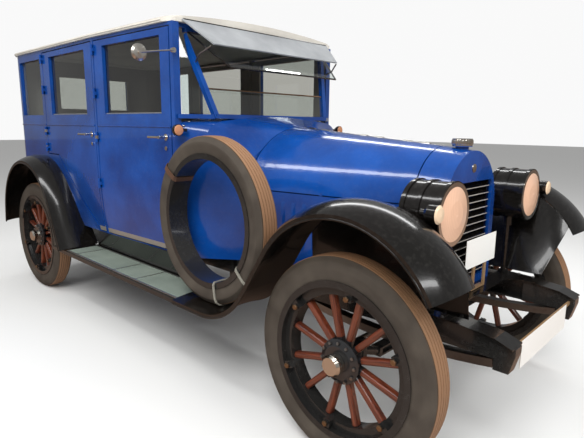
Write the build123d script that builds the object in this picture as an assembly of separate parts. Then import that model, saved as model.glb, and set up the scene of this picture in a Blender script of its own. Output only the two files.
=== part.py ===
from build123d import *
import os
from math import atan2, cos, degrees, hypot, radians, sin

# Four-door closed touring car of the 1920s on a ladder frame.
# Millimetres, X forward, Y left, Z up, origin on the ground midway between the axles.
# The right-hand pieces are drawn and the left-hand ones are their mirror images.

# Chassis and wheels
WHEELBASE = 3188
TRACK = 1435
TYRE_OD = 864
TYRE_WIDTH = 125
RIM_DIA = 635
AXLE_X = WHEELBASE / 2
WHEEL_Y = TRACK / 2
WHEEL_Z = TYRE_OD / 2
SPOKES = 12
LUGS = 6
LUG_CIRCLE_R = 267
LUG_TURN = 9
HUB_FLANGE_DIA = 185
HUB_FLANGE_OUT = 52
HUB_CAP_DIA = 88
HUB_CAP_OUT = 100
FELLOE_WIDTH = 62
FELLOE_DEPTH = 34
RIM_WALL = 12
SPINDLE_R = 20
RUNNING_FIT = 0.08
KINGPIN_Y = 610
KINGPIN_R = 13
RAIL_Y = 380
RAIL_WIDTH = 60
RAIL_HEIGHT = 110
RAIL_WALL = 8
RAIL_TOP = 599.7
FRAME_REAR_X = -2080
HORN_X = 2142
HORN_Z = 530

# Body
BODY_Y = 700
BODY_REAR_X = -2060
BODY_CORNER_R = 170
WALL = 42
SILL_Z = 600
TUCK_Z = 980
TUCK_IN = 38
ROOF_EDGE_Z = 1893
ROOF_CROWN = 62
ROOF_THICK = 34
ROOF_OVERHANG = 16
FLOOR_THICK = 25
FRONT_JOG_X = -535
FRONT_POST_X = 332
FRONT_POST_Y = 660
FRONT_TURN = degrees(atan2(BODY_Y - FRONT_POST_Y, FRONT_POST_X - FRONT_JOG_X))
WINDOW_SILL_Z = 1410
WINDOW_TOP_Z = 1832
DOOR_TOP_Z = 1868
DOOR_GAP = 7
GLASS = 6
HINGE_OUT = 12
HINGE_R = 9
HINGE_PIN_R = 4
HINGE_LENGTH = 64
HINGE_AXIAL_GAP = 0.4

# Cowl, bonnet and radiator
COWL_FRONT_X = 660
BONNET_GAP = 6
SHELL_REAR_X = 1600
SHELL_FRONT_X = 1750
SHOULDER_Z = 1010
APRON_TOP_Z = 622
COWL_REAR_TOP_Z = 1412
BONNET_REAR = (430, 1344)
BONNET_FRONT = (270, 1266)
SHEET = 5

# Fenders and boards
FENDER_OUT = 870
FENDER_IN = 590
CROWN_RISE = 44
CROWN_Y = -735
LIP_WIDTH = 6
LIP_DROP = 18
BOARD_TOP_Z = 443
BOARD_FRONT_X = 578
BOARD_REAR_X = -1080
BOARD_IN = 590
BOARD_OUT = 840

# Spare
SPARE_DIA = 832
SPARE_X = 765
SPARE_Y = 737

os.makedirs("parts", exist_ok=True)


def block(x0, x1, y0, y1, z0, z1):
    """Box between two corners."""
    place = Pos((x0 + x1) / 2, (y0 + y1) / 2, (z0 + z1) / 2)
    return place * Box(abs(x1 - x0), abs(y1 - y0), abs(z1 - z0))


def rod(start, end, radius):
    """Round bar between two points."""
    a, b = Vector(*start), Vector(*end)
    plane = Plane(origin=a, z_dir=b - a)
    return extrude(plane * Circle(radius), (b - a).length)


def prism_y(points, y0, y1):
    """Polygon of (x, z) points, from one y to another."""
    face = make_face(Polyline(*[(x, y0, z) for x, z in points], close=True))
    return extrude(face, y1 - y0, dir=(0, 1, 0))


def prism_z(points, z0, z1):
    """Polygon of (x, y) points, from one z to another."""
    face = make_face(Polyline(*[(x, y, z0) for x, y in points], close=True))
    return extrude(face, z1 - z0, dir=(0, 0, 1))


def prism_x(edges, x0, x1):
    """Closed outline of edges drawn as (y, z), from one x to another."""
    plane = Plane(origin=(x0, 0, 0), x_dir=(0, 1, 0), z_dir=(1, 0, 0))
    return extrude(plane * make_face(edges), x1 - x0)


def left(shape):
    """Mirror image on the other side of the car."""
    return mirror(shape, about=Plane.XZ)


def both(shape):
    return [shape, left(shape)]


def solids_of(shapes):
    found = []
    for shape in shapes if isinstance(shapes, (list, tuple)) else [shapes]:
        found += list(shape.solids())
    return found


def write(name, shapes):
    """One node's STEP file."""
    solids = solids_of(shapes)
    whole = solids[0] if len(solids) == 1 else Compound(children=solids)
    export_step(whole, f"parts/{name}.step")


def ribbon(start, heading, steps, section):
    """Section carried along straight runs and arcs in the XZ plane.

    The section is drawn as (y, height over the path). Steps are ("run", length)
    or ("arc", radius, turn), where a positive turn bends upwards.
    """
    x, z = start
    piece = None
    for step in steps:
        along = (cos(radians(heading)), 0, sin(radians(heading)))
        plane = Plane(origin=(x, 0, z), x_dir=(0, 1, 0), z_dir=along)
        face = plane * section
        if step[0] == "run":
            span = extrude(face, step[1])
            x, z = x + step[1] * along[0], z + step[1] * along[2]
        else:
            radius, turn = step[1], step[2]
            side = 1 if turn > 0 else -1
            cx, cz = x - side * radius * along[2], z + side * radius * along[0]
            span = revolve(face, Axis((cx, 0, cz), (0, -side, 0)), abs(turn))
            heading += turn
            x = cx + side * radius * sin(radians(heading))
            z = cz - side * radius * cos(radians(heading))
        piece = span if piece is None else piece + span
    return piece


# Wheels, drawn about the Y axis with the outer side towards -Y
HUB_R = 46
HUB_IN = 47
FLANGE_THICK = 16
SPOKE_HALF_DEPTH = 19
SPOKE_HALF_WIDTH = 14
SPOKE_ROUND = 12
SPOKE_ROOT_R = 30
SPOKE_SHORT = 2
FELLOE_OUT_R = RIM_DIA / 2 - RIM_WALL
FELLOE_IN_R = FELLOE_OUT_R - FELLOE_DEPTH
SPINDLE_END = 32
SEAT_GAP = 0.3
RIM_HALF = 52
DRUM_R = 165
DRUM_IN = 78
DRUM_DEPTH = 42


def ring_y(outline):
    """Solid of revolution about Y from an outline of (radius, y) points."""
    return revolve(make_face(Polyline(*[(r, y, 0) for r, y in outline], close=True)), Axis.Y)


def tyre(outer_dia, width):
    """Straight-sided tyre with rounded shoulders, seated on a rim of RIM_DIA."""
    out_r, half = outer_dia / 2, width / 2
    bead_r = RIM_DIA / 2 + SEAT_GAP
    bead_half = RIM_HALF - SEAT_GAP
    side_r = (out_r + bead_r) / 2
    tread_half = half * 0.66
    shoulder_r = out_r - half * 0.3
    upper = [
        Line((bead_r, -bead_half, 0), (bead_r, bead_half, 0)),
        Line((bead_r, bead_half, 0), (bead_r + 16, bead_half, 0)),
        ThreePointArc((bead_r + 16, bead_half, 0), (side_r, half, 0), (shoulder_r, half * 0.9, 0)),
        Line((shoulder_r, half * 0.9, 0), (out_r - 2, tread_half, 0)),
        ThreePointArc((out_r - 2, tread_half, 0), (out_r, 0, 0), (out_r - 2, -tread_half, 0)),
        Line((out_r - 2, -tread_half, 0), (shoulder_r, -half * 0.9, 0)),
        ThreePointArc((shoulder_r, -half * 0.9, 0), (side_r, -half, 0), (bead_r + 16, -bead_half, 0)),
        Line((bead_r + 16, -bead_half, 0), (bead_r, -bead_half, 0)),
    ]
    return revolve(make_face(upper), Axis.Y)


def rim_channel():
    """Steel rim with its two flanges."""
    rim_r, flange_r = RIM_DIA / 2, RIM_DIA / 2 + 15
    return ring_y([
        (FELLOE_OUT_R, -RIM_HALF - 5), (flange_r, -RIM_HALF - 5), (flange_r, -RIM_HALF),
        (rim_r, -RIM_HALF), (rim_r, RIM_HALF), (flange_r, RIM_HALF),
        (flange_r, RIM_HALF + 5), (FELLOE_OUT_R, RIM_HALF + 5),
    ])


def felloe_rim():
    """Felloe, rim and the six clamping lugs, as one solid."""
    half = FELLOE_WIDTH / 2
    body = rim_channel() + ring_y([
        (FELLOE_IN_R, -half), (FELLOE_OUT_R + 1, -half), (FELLOE_OUT_R + 1, half), (FELLOE_IN_R, half),
    ])
    for i in range(LUGS):
        lug = block(FELLOE_IN_R - 4, FELLOE_OUT_R + 6, -RIM_HALF - 2, -half + 1, -16, 16)
        nut = rod((LUG_CIRCLE_R + 14, -RIM_HALF, 0), (LUG_CIRCLE_R + 14, -RIM_HALF - 12, 0), 11)
        body += Rot(0, LUG_TURN + 30 + i * 360 / LUGS, 0) * (lug + nut)
    return body


def spoke_wheel(drum):
    """Twelve wooden spokes on a turned hub with its bolted flange and screwed cap."""
    hub = ring_y([(0, HUB_IN), (HUB_R, HUB_IN), (HUB_R, -HUB_FLANGE_OUT), (0, -HUB_FLANGE_OUT)])
    flange_r = HUB_FLANGE_DIA / 2
    hub += ring_y([
        (0, -HUB_FLANGE_OUT + FLANGE_THICK + 12), (flange_r - 4, -HUB_FLANGE_OUT + FLANGE_THICK + 12),
        (flange_r, -HUB_FLANGE_OUT + FLANGE_THICK), (flange_r - 26, -HUB_FLANGE_OUT), (0, -HUB_FLANGE_OUT),
    ])
    cap_r = HUB_CAP_DIA / 2
    hub += ring_y([
        (0, -HUB_FLANGE_OUT + 1), (cap_r - 4, -HUB_FLANGE_OUT + 1), (cap_r - 4, -HUB_CAP_OUT + 28),
        (cap_r, -HUB_CAP_OUT + 26), (cap_r, -HUB_CAP_OUT + 12), (cap_r - 8, -HUB_CAP_OUT), (0, -HUB_CAP_OUT),
    ])
    spoke_len = FELLOE_IN_R - SEAT_GAP
    root = Plane(origin=(SPOKE_ROOT_R, 0, 0), x_dir=(0, 1, 0), z_dir=(1, 0, 0))
    profile = RectangleRounded(2 * SPOKE_HALF_DEPTH, 2 * SPOKE_HALF_WIDTH, SPOKE_ROUND)
    bar = extrude(root * profile, spoke_len - SPOKE_ROOT_R - SPOKE_SHORT)
    for i in range(SPOKES):
        hub += Rot(0, (i + 0.5) * 360 / SPOKES, 0) * bar
    if drum:
        drum_out = DRUM_IN - DRUM_DEPTH
        hub += ring_y([(0, drum_out), (DRUM_R, drum_out), (DRUM_R, DRUM_IN), (0, DRUM_IN)])
    bore = rod((0, DRUM_IN + 10, 0), (0, -SPINDLE_END - 1, 0), SPINDLE_R + RUNNING_FIT)
    return hub - bore


right_tyre = tyre(TYRE_OD, TYRE_WIDTH)
right_rim = felloe_rim()
for end, sign in (("front", 1), ("rear", -1)):
    place = Pos(sign * AXLE_X, -WHEEL_Y, WHEEL_Z)
    hub = place * spoke_wheel(end == "rear")
    for node, shape in (("tyre", place * right_tyre), ("rim", place * right_rim), ("wheel", hub)):
        write(f"{node}_{end}_right", shape)
        write(f"{node}_{end}_left", left(shape))

# Front axle, steering knuckles and track rod
BOSS_R = 26
BOSS_HALF = 32
YOKE_THICK = 16
YOKE_CLEAR = 0.4
BEAM_Z = 392
BEAM_HALF = 20
BEAM_HALF_WIDTH = 24
BEAM_END_Y = 500
WEB_HALF = 9
POCKET_HALF = 12
POCKET_END_Y = 480
SPRING_THICK = 34
SPRING_WIDTH = 50
ARM_LEN = 160
ARM_THICK = 12
ROD_PIN_R = 7
ROD_Z = 366
ROD_R = 11
YOKE_FACE = WHEEL_Y - HUB_IN - 6

beam = block(AXLE_X - BEAM_HALF_WIDTH, AXLE_X + BEAM_HALF_WIDTH, -BEAM_END_Y, BEAM_END_Y,
             BEAM_Z - BEAM_HALF, BEAM_Z + BEAM_HALF)
for side in (-1, 1):
    web_x, outside_x = AXLE_X + side * WEB_HALF, AXLE_X + side * (BEAM_HALF_WIDTH + 6)
    beam -= block(web_x, outside_x, -POCKET_END_Y, POCKET_END_Y, BEAM_Z - POCKET_HALF, BEAM_Z + POCKET_HALF)
boss_low, boss_high = WHEEL_Z - BOSS_HALF, WHEEL_Z + BOSS_HALF
for y in (-1, 1):
    beam += rod((AXLE_X, y * 492, BEAM_Z), (AXLE_X, y * (KINGPIN_Y - 8), WHEEL_Z), 19)
    beam += rod((AXLE_X, y * KINGPIN_Y, boss_low), (AXLE_X, y * KINGPIN_Y, boss_high), BOSS_R)
    beam -= rod((AXLE_X, y * KINGPIN_Y, 300), (AXLE_X, y * KINGPIN_Y, 560), KINGPIN_R + RUNNING_FIT)
write("front_axle", beam)


def knuckle():
    """Right-hand forked knuckle with kingpin, spindle and steering arm."""
    yoke_low = boss_low - YOKE_CLEAR - YOKE_THICK
    yoke_high = boss_high + YOKE_CLEAR + YOKE_THICK
    x, y = AXLE_X, -KINGPIN_Y
    piece = rod((x, y, yoke_low - 8), (x, y, yoke_high + 8), KINGPIN_R)
    for low in (yoke_low, boss_high + YOKE_CLEAR):
        piece += rod((x, y, low), (x, y, low + YOKE_THICK), BOSS_R)
        piece += block(x - BOSS_R + 2, x + BOSS_R - 2, y, -YOKE_FACE, low, low + YOKE_THICK)
    piece += block(x - BOSS_R + 2, x + BOSS_R - 2, -YOKE_FACE + 14, -YOKE_FACE, yoke_low, yoke_high)
    piece += rod((x, -YOKE_FACE + 4, WHEEL_Z), (x, -WHEEL_Y - SPINDLE_END, WHEEL_Z), SPINDLE_R)
    piece += block(x - ARM_LEN - 14, x, y - 14, y + 14, yoke_low, yoke_low + ARM_THICK)
    pin_x = x - ARM_LEN
    return piece + rod((pin_x, y, yoke_low + 2), (pin_x, y, ROD_Z - 20), ROD_PIN_R)


right_knuckle = knuckle()
write("knuckle_right", right_knuckle)
write("knuckle_left", left(right_knuckle))
rod_x = AXLE_X - ARM_LEN
track_rod = rod((rod_x, -KINGPIN_Y + 12, ROD_Z), (rod_x, KINGPIN_Y - 12, ROD_Z), ROD_R)
for y in (-KINGPIN_Y, KINGPIN_Y):
    track_rod += rod((rod_x, y, ROD_Z - 13), (rod_x, y, ROD_Z + 13), 17)
    track_rod -= rod((rod_x, y, ROD_Z - 30), (rod_x, y, ROD_Z + 30), ROD_PIN_R + RUNNING_FIT)
write("track_rod", track_rod)

# Rear axle with its differential and torque tube
BACKPLATE_Y = WHEEL_Y - DRUM_IN - 6
AXLE_TUBE_R = 38
TORQUE_TUBE_END = (-261.5, 470)
TORQUE_TUBE_R = 42
DIFFERENTIAL_R = 132
rear = rod((-AXLE_X, -BACKPLATE_Y + 5, WHEEL_Z), (-AXLE_X, BACKPLATE_Y - 5, WHEEL_Z), AXLE_TUBE_R)
rear += Pos(-AXLE_X, 0, WHEEL_Z) * Sphere(DIFFERENTIAL_R)
rear += rod((-AXLE_X, 0, WHEEL_Z), (TORQUE_TUBE_END[0], 0, TORQUE_TUBE_END[1]), TORQUE_TUBE_R)
rear += rod((-AXLE_X, -WHEEL_Y - SPINDLE_END, WHEEL_Z), (-AXLE_X, WHEEL_Y + SPINDLE_END, WHEEL_Z), SPINDLE_R)
for y in (-1, 1):
    rear += rod((-AXLE_X, y * (BACKPLATE_Y - 10), WHEEL_Z), (-AXLE_X, y * BACKPLATE_Y, WHEEL_Z), DRUM_R - 12)
write("rear_axle", rear)

# Ladder frame with its cross members and spring horns
RAIL_IN = RAIL_Y - RAIL_WIDTH / 2
RAIL_OUT = RAIL_Y + RAIL_WIDTH / 2
RAIL_LOW = RAIL_TOP - RAIL_HEIGHT
CROSS_X = (-2040, -1180, -330, 690, 1675)
CROSS_HALF = 30
CROSS_DEPTH = 70
EYE_BLOCK = 34
EYE_LOW = RAIL_LOW - 44
FRONT_EYE_X = 2062
FRONT_SPRING_Z = BEAM_Z + BEAM_HALF + SPRING_THICK / 2 + SEAT_GAP
SPRING_RISE = 38
side_view = [
    (FRAME_REAR_X, RAIL_TOP), (1760, RAIL_TOP), (1930, RAIL_TOP - 8), (2070, HORN_Z + 46),
    (HORN_X, HORN_Z + 20), (HORN_X, HORN_Z - 8), (HORN_X - 20, EYE_LOW), (FRONT_EYE_X + 1, EYE_LOW),
    (FRONT_EYE_X + 1, RAIL_LOW), (FRAME_REAR_X, RAIL_LOW),
]
rail = prism_y(side_view, -RAIL_OUT, -RAIL_IN)
CHANNEL_FRONT_X = 1900
rail -= block(FRAME_REAR_X + 10, CHANNEL_FRONT_X, -RAIL_OUT + RAIL_WALL, -RAIL_IN + 1,
              RAIL_LOW + RAIL_WALL, RAIL_TOP - RAIL_WALL)
shackle_x = 2 * AXLE_X - FRONT_EYE_X
rail += block(shackle_x - EYE_BLOCK, shackle_x - 1, -RAIL_Y - 22, -RAIL_Y + 22, EYE_LOW, RAIL_LOW)
REAR_SPRING_Y = 470
REAR_SPRING_HALF = 440
SPRING_END_GAP = 3.6
REAR_SPRING_Z = WHEEL_Z + AXLE_TUBE_R + SPRING_THICK / 2 + SEAT_GAP
for sign in (-1, 1):
    near = -AXLE_X + sign * (REAR_SPRING_HALF + SPRING_END_GAP)
    far = near + sign * EYE_BLOCK
    rail += block(near, far, -REAR_SPRING_Y - 26, -RAIL_OUT + 1, RAIL_LOW + 6, RAIL_TOP - 6)
frame = rail + left(rail)
for x in CROSS_X:
    frame += block(x - CROSS_HALF, x + CROSS_HALF, -RAIL_OUT + RAIL_WALL, RAIL_OUT - RAIL_WALL,
                   RAIL_TOP - CROSS_DEPTH, RAIL_TOP)
STARTER_BORE_R = 14
STARTER_Z = RAIL_TOP - 38
starter_start, starter_end = CROSS_X[-1] - CROSS_HALF - 1, CROSS_X[-1] + CROSS_HALF + 1
frame -= rod((starter_start, 0, STARTER_Z), (starter_end, 0, STARTER_Z), STARTER_BORE_R)
HITCH_HOLE_R = 7
for y in (-60, 60):
    for z in (RAIL_TOP - 54, RAIL_TOP - 18):
        frame -= rod((FRAME_REAR_X + 5, y, z), (CROSS_X[0] + CROSS_HALF + 1, y, z), HITCH_HOLE_R)
write("chassis_frame", frame)


def leaf_spring(x_mid, y_mid, half_len, z_mid, rise):
    """Semi-elliptic leaf pack as a curved bar with its axle clamp."""
    radius = (half_len ** 2 + rise ** 2) / (2 * rise)
    angle = degrees(atan2(half_len, radius - rise))
    face = Pos(y_mid, 0) * Rectangle(SPRING_WIDTH, SPRING_THICK)
    return ribbon((x_mid - half_len, z_mid + rise), -angle, [("arc", radius, 2 * angle)], face)


FRONT_SPRING_HALF = FRONT_EYE_X + 1 - AXLE_X - SPRING_END_GAP
springs = []
for y in (-RAIL_Y, RAIL_Y):
    springs.append(leaf_spring(AXLE_X, y, FRONT_SPRING_HALF, FRONT_SPRING_Z, SPRING_RISE))
for y in (-REAR_SPRING_Y, REAR_SPRING_Y):
    springs.append(leaf_spring(-AXLE_X, y, REAR_SPRING_HALF, REAR_SPRING_Z, SPRING_RISE))
write("leaf_springs", springs)

# Engine with gearbox, exhaust and fuel tank
ENGINE_FRONT_X = 1530
ENGINE_HALF = 140
GEARBOX_REAR_X = -259
ARM_LOW_Z = RAIL_TOP + SEAT_GAP
ENGINE_REAR_X = 860
ENGINE_LOW, ENGINE_HIGH = 438, 1010
FLYWHEEL_R, FLYWHEEL_Z, FLYWHEEL_LEN = 150, 560, 135
engine = block(ENGINE_REAR_X, ENGINE_FRONT_X, -ENGINE_HALF, ENGINE_HALF, ENGINE_LOW, ENGINE_HIGH)
engine += block(GEARBOX_REAR_X, ENGINE_REAR_X, -100, 100, 400, RAIL_TOP - 75)
engine += rod((ENGINE_REAR_X - FLYWHEEL_LEN, 0, FLYWHEEL_Z), (ENGINE_REAR_X + 1, 0, FLYWHEEL_Z), FLYWHEEL_R)
for x in (920, 1430):
    engine += block(x - 25, x + 25, -RAIL_Y, RAIL_Y, ARM_LOW_Z, ARM_LOW_Z + 14)
write("engine", engine)

PIPE_R = 24
SILENCER_R, TAIL_PIPE_R = 75, 20
PIPE_HIGH, PIPE_LOW = (1210, -205, 880), (1210, -205, 440)
SILENCER_FRONT, SILENCER_REAR = (-640, -235, 440), (-1230, -235, 440)
PIPE_END = (-1440, -235, 440)
HANGER_X, HANGER_HALF = -1180, 12
pipe = rod((PIPE_HIGH[0], -ENGINE_HALF - SEAT_GAP, PIPE_HIGH[2]), PIPE_HIGH, PIPE_R)
for bend in (PIPE_HIGH, PIPE_LOW):
    pipe += Pos(*bend) * Sphere(PIPE_R)
pipe += rod(PIPE_HIGH, PIPE_LOW, PIPE_R) + rod(PIPE_LOW, SILENCER_FRONT, PIPE_R)
pipe += rod(SILENCER_FRONT, SILENCER_REAR, SILENCER_R) + rod(SILENCER_REAR, PIPE_END, TAIL_PIPE_R)
hanger_y = SILENCER_REAR[1]
pipe += block(HANGER_X - HANGER_HALF, HANGER_X + HANGER_HALF, hanger_y - HANGER_HALF, hanger_y + HANGER_HALF,
              500, RAIL_TOP - CROSS_DEPTH - SEAT_GAP)
write("exhaust", pipe)

tank_z = RAIL_LOW - SEAT_GAP
TANK_X, TANK_LONG, TANK_HIGH, TANK_HALF = -1900, 250, 170, 395
tank_profile = Plane.XZ * Pos(TANK_X, tank_z - TANK_HIGH / 2) * RectangleRounded(TANK_LONG, TANK_HIGH, 60)
tank = extrude(tank_profile, TANK_HALF, both=True)
tank += block(TANK_X - 30, TANK_X + 30, -TANK_HALF - 9, TANK_HALF + 9, tank_z - 24, tank_z)
write("fuel_tank", tank)


# Radiator, bonnet and cowl share one family of arch sections
def arch(x, half_width, top_z, low_z, inset):
    """Closed section: straight sides to the shoulder, then one arc over the top."""
    plane = Plane(origin=(x, 0, 0), x_dir=(0, 1, 0), z_dir=(1, 0, 0))
    w, top = half_width - inset, top_z - inset
    edges = [
        Line((-w, low_z), (-w, SHOULDER_Z)),
        ThreePointArc((-w, SHOULDER_Z), (0, top), (w, SHOULDER_Z)),
        Line((w, SHOULDER_Z), (w, low_z)),
        Line((w, low_z), (-w, low_z)),
    ]
    return plane * make_face(edges)


def arch_loft(rear_x, rear, front_x, front, low_z, inset=0):
    """Straight-sided body between two arch sections of (half width, top)."""
    return loft([arch(rear_x, *rear, low_z, inset), arch(front_x, *front, low_z, inset)], ruled=True)


RAD_FRONT = (262, 1250)
OPEN_HALF = 218
OPEN_LOW = 640
OPEN_TOP = 1108
FACE_DEPTH = 14
shell = arch_loft(SHELL_REAR_X, BONNET_FRONT, SHELL_FRONT_X, RAD_FRONT, RAIL_TOP + SEAT_GAP)
shell -= arch_loft(SHELL_REAR_X - 1, BONNET_FRONT, SHELL_FRONT_X - FACE_DEPTH, RAD_FRONT, RAIL_TOP - 9, 9)
open_mid = (SHELL_FRONT_X - 60, 0, (OPEN_LOW + OPEN_TOP) / 2)
open_plane = Plane(origin=open_mid, x_dir=(0, 1, 0), z_dir=(1, 0, 0))
shell -= extrude(open_plane * RectangleRounded(2 * OPEN_HALF, OPEN_TOP - OPEN_LOW, 28), 80)
CAP_X = 1685
CAP_R = 45
CAP_TOP = 1302
shell += rod((CAP_X, 0, 1240), (CAP_X, 0, 1268), 30) + rod((CAP_X, 0, 1266), (CAP_X, 0, CAP_TOP), CAP_R)
write("radiator_shell", shell)

SLATS = 13
CORE_HALF = 214
CORE_X = (1645, 1700)
SLAT_X, SLAT_TILT, SLAT_DEPTH, SLAT_THICK = 1726, 35, 30, 4
core = block(*CORE_X, -CORE_HALF, CORE_HALF, OPEN_LOW - 20, OPEN_TOP - 4)
core += block(*CORE_X, -CORE_HALF, CORE_HALF, RAIL_TOP + SEAT_GAP, OPEN_LOW - 19)
pitch = (OPEN_TOP - OPEN_LOW - 16) / SLATS
for i in range(SLATS):
    z = OPEN_LOW + 8 + pitch * (i + 0.5)
    core += Pos(SLAT_X, 0, z) * Rot(0, SLAT_TILT, 0) * Box(SLAT_DEPTH, 2 * CORE_HALF, SLAT_THICK)
for y in (-CORE_HALF + 6, CORE_HALF - 6):
    core += block(1698, 1732, y - 6, y + 6, OPEN_LOW + 4, OPEN_TOP - 4)
write("radiator_shutters", core)

HINGE_ROD_R = 4
KNUCKLE_R = 8.5
KNUCKLE_HALF = 22
CENTRE_GAP = 7
SIDE_LOW_Z = APRON_TOP_Z + 6
SHOULDER_SPLIT = 3
SHOULDER_PIN_R = 3
SHOULDER_IN = 13
bonnet_start = COWL_FRONT_X + BONNET_GAP
bonnet_end = SHELL_REAR_X - BONNET_GAP
skin = arch_loft(COWL_FRONT_X, BONNET_REAR, SHELL_REAR_X, BONNET_FRONT, SIDE_LOW_Z)
skin -= arch_loft(COWL_FRONT_X, BONNET_REAR, SHELL_REAR_X, BONNET_FRONT, SIDE_LOW_Z - 20, SHEET)


def along_bonnet(x, rear, front):
    """Value at x of a size that runs evenly from the cowl to the radiator."""
    share = (x - COWL_FRONT_X) / (SHELL_REAR_X - COWL_FRONT_X)
    return rear + share * (front - rear)


def centre_point(x):
    return (x, 0, along_bonnet(x, BONNET_REAR[1], BONNET_FRONT[1]) - 3)


def shoulder_point(x):
    return (x, -along_bonnet(x, BONNET_REAR[0], BONNET_FRONT[0]) + SHOULDER_IN, SHOULDER_Z)


RIGHT_STATIONS = (760, 1130, 1500)
LEFT_STATIONS = (860, 1230, 1400)
top_panel = skin & block(bonnet_start, bonnet_end, -600, -CENTRE_GAP, SHOULDER_Z + SHOULDER_SPLIT, 1500)
side_panel = skin & block(bonnet_start, bonnet_end, -600, -60, SIDE_LOW_Z, SHOULDER_Z - SHOULDER_SPLIT)
shoulder_ends = (bonnet_start + 20, bonnet_end - 20)
top_panel += rod(shoulder_point(shoulder_ends[0]), shoulder_point(shoulder_ends[1]), SHOULDER_PIN_R)
for x in (shoulder_ends[0] + 10, 1130, shoulder_ends[1] - 10):
    _, py, pz = shoulder_point(x)
    top_panel += block(x - 8, x + 8, py - SHOULDER_IN + 1, py + 3, pz - 2, pz + 14)
for x in (bonnet_start + 120, bonnet_end - 120):
    a, b = shoulder_point(x - KNUCKLE_HALF), shoulder_point(x + KNUCKLE_HALF)
    _, py, pz = shoulder_point(x)
    side_panel += rod(a, b, 6.5) + block(x - 20, x + 20, py - SHOULDER_IN + 1, py, pz - 14, pz - 1)
side_panel -= rod(shoulder_point(bonnet_start), shoulder_point(bonnet_end), SHOULDER_PIN_R + RUNNING_FIT)


def centre_knuckles(panel, own, other):
    """Interleaved hinge knuckles on the bonnet's centre rod."""
    for x in own:
        panel += rod(centre_point(x - KNUCKLE_HALF), centre_point(x + KNUCKLE_HALF), KNUCKLE_R)
    for x in other:
        panel -= rod(centre_point(x - KNUCKLE_HALF - 6), centre_point(x + KNUCKLE_HALF + 6), KNUCKLE_R + 6)
    bore_start, bore_end = centre_point(bonnet_start - 5), centre_point(bonnet_end + 5)
    return panel - rod(bore_start, bore_end, HINGE_ROD_R + RUNNING_FIT)


write("bonnet_top_right", centre_knuckles(top_panel, RIGHT_STATIONS, LEFT_STATIONS))
write("bonnet_top_left", centre_knuckles(left(top_panel), LEFT_STATIONS, RIGHT_STATIONS))
write("bonnet_side_right", side_panel)
write("bonnet_side_left", left(side_panel))

# Cowl between the front posts and the bonnet
# Sections of (x, half width, side top z, corner end y, corner end z, top z)
COWL_SECTIONS = (
    (FRONT_POST_X + 3, FRONT_POST_Y, 1298, 600, 1368, COWL_REAR_TOP_Z),
    (480, 566, 1262, 466, 1366, 1402),
    (COWL_FRONT_X, BONNET_REAR[0], SHOULDER_Z, 310, 1218, BONNET_REAR[1]),
)
COWL_LOW_Z = RAIL_TOP + SEAT_GAP


def cowl_section(x, w, side_z, corner_y, corner_z, top_z, inset, low):
    w, corner_y = w - inset, corner_y - inset * 0.6
    corner_z, top_z = corner_z - inset * 0.8, top_z - inset
    bulge = 0.29 * hypot(w - corner_y, corner_z - side_z) * 0.55
    across = Vector(corner_z - side_z, w - corner_y).normalized()
    mid = ((w + corner_y) / 2 + bulge * across.X, (side_z + corner_z) / 2 + bulge * across.Y)
    edges = [
        Line((-w, low), (-w, side_z)),
        ThreePointArc((-w, side_z), (-mid[0], mid[1]), (-corner_y, corner_z)),
        ThreePointArc((-corner_y, corner_z), (0, top_z), (corner_y, corner_z)),
        ThreePointArc((corner_y, corner_z), mid, (w, side_z)),
        Line((w, side_z), (w, low)),
        Line((w, low), (-w, low)),
    ]
    plane = Plane(origin=(x, 0, 0), x_dir=(0, 1, 0), z_dir=(1, 0, 0))
    return plane * make_face(edges)


def cowl_body(inset, low):
    faces = [cowl_section(*row, inset, low) for row in COWL_SECTIONS]
    return loft(faces[:2], ruled=True) + loft(faces[1:], ruled=True)


cowl_outer = cowl_body(0, COWL_LOW_Z)
cowl_inner = cowl_body(8, COWL_LOW_Z - 10)
FIREWALL = 6
cowl = cowl_outer - cowl_inner
cowl += cowl_outer & block(COWL_FRONT_X - FIREWALL, COWL_FRONT_X, -700, 700, COWL_LOW_Z, 1500)
cowl += cowl_outer & block(FRONT_POST_X, COWL_FRONT_X, -700, 700, COWL_LOW_Z, COWL_LOW_Z + FLOOR_THICK)
cowl += cowl_outer & block(430, 448, -700, 700, 1190, 1500)
cowl += rod(centre_point(COWL_FRONT_X - 2), centre_point(SHELL_REAR_X - 0.3), HINGE_ROD_R)
write("cowl", cowl)

# Body walls: one vertical section, tucked under below the doors
INNER_Y = BODY_Y - WALL
wall_edges = [
    Line((-BODY_Y, ROOF_EDGE_Z), (-BODY_Y, TUCK_Z)),
    ThreePointArc((-BODY_Y, TUCK_Z), (-BODY_Y + 10, 790), (-BODY_Y + TUCK_IN, SILL_Z)),
    Line((-BODY_Y + TUCK_IN, SILL_Z), (-INNER_Y + TUCK_IN, SILL_Z)),
    ThreePointArc((-INNER_Y + TUCK_IN, SILL_Z), (-INNER_Y + 10, 790), (-INNER_Y, TUCK_Z)),
    Line((-INNER_Y, TUCK_Z), (-INNER_Y, ROOF_EDGE_Z)),
    Line((-INNER_Y, ROOF_EDGE_Z), (-BODY_Y, ROOF_EDGE_Z)),
]


def side_wall(x0, x1):
    return prism_x(wall_edges, x0, x1)


def swing_front(shape):
    """Turn a front-side piece in to the narrower front post."""
    return shape.rotate(Axis((FRONT_JOG_X, -BODY_Y, 0), (0, 0, 1)), FRONT_TURN)


# Doors: (name, hinge x, latch x, window x0, x1, hinge heights)
FRONT_DOOR = (-515, 300, -412, 214)
REAR_DOOR = (-1385, -555, -1268, -662)
DOOR_LOW_Z = 612
FENDER_CLEAR_Z = 1118
REAR_DOOR_STEP_X = -1195
REAR_DOOR_TOE = (-640, 640)
QUARTER_WINDOW = (-1880, -1440)
FRONT_HINGES = (1815, 1543, 1262, 956)
REAR_HINGES = (1826, 1599, 1290, 1165)


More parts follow.
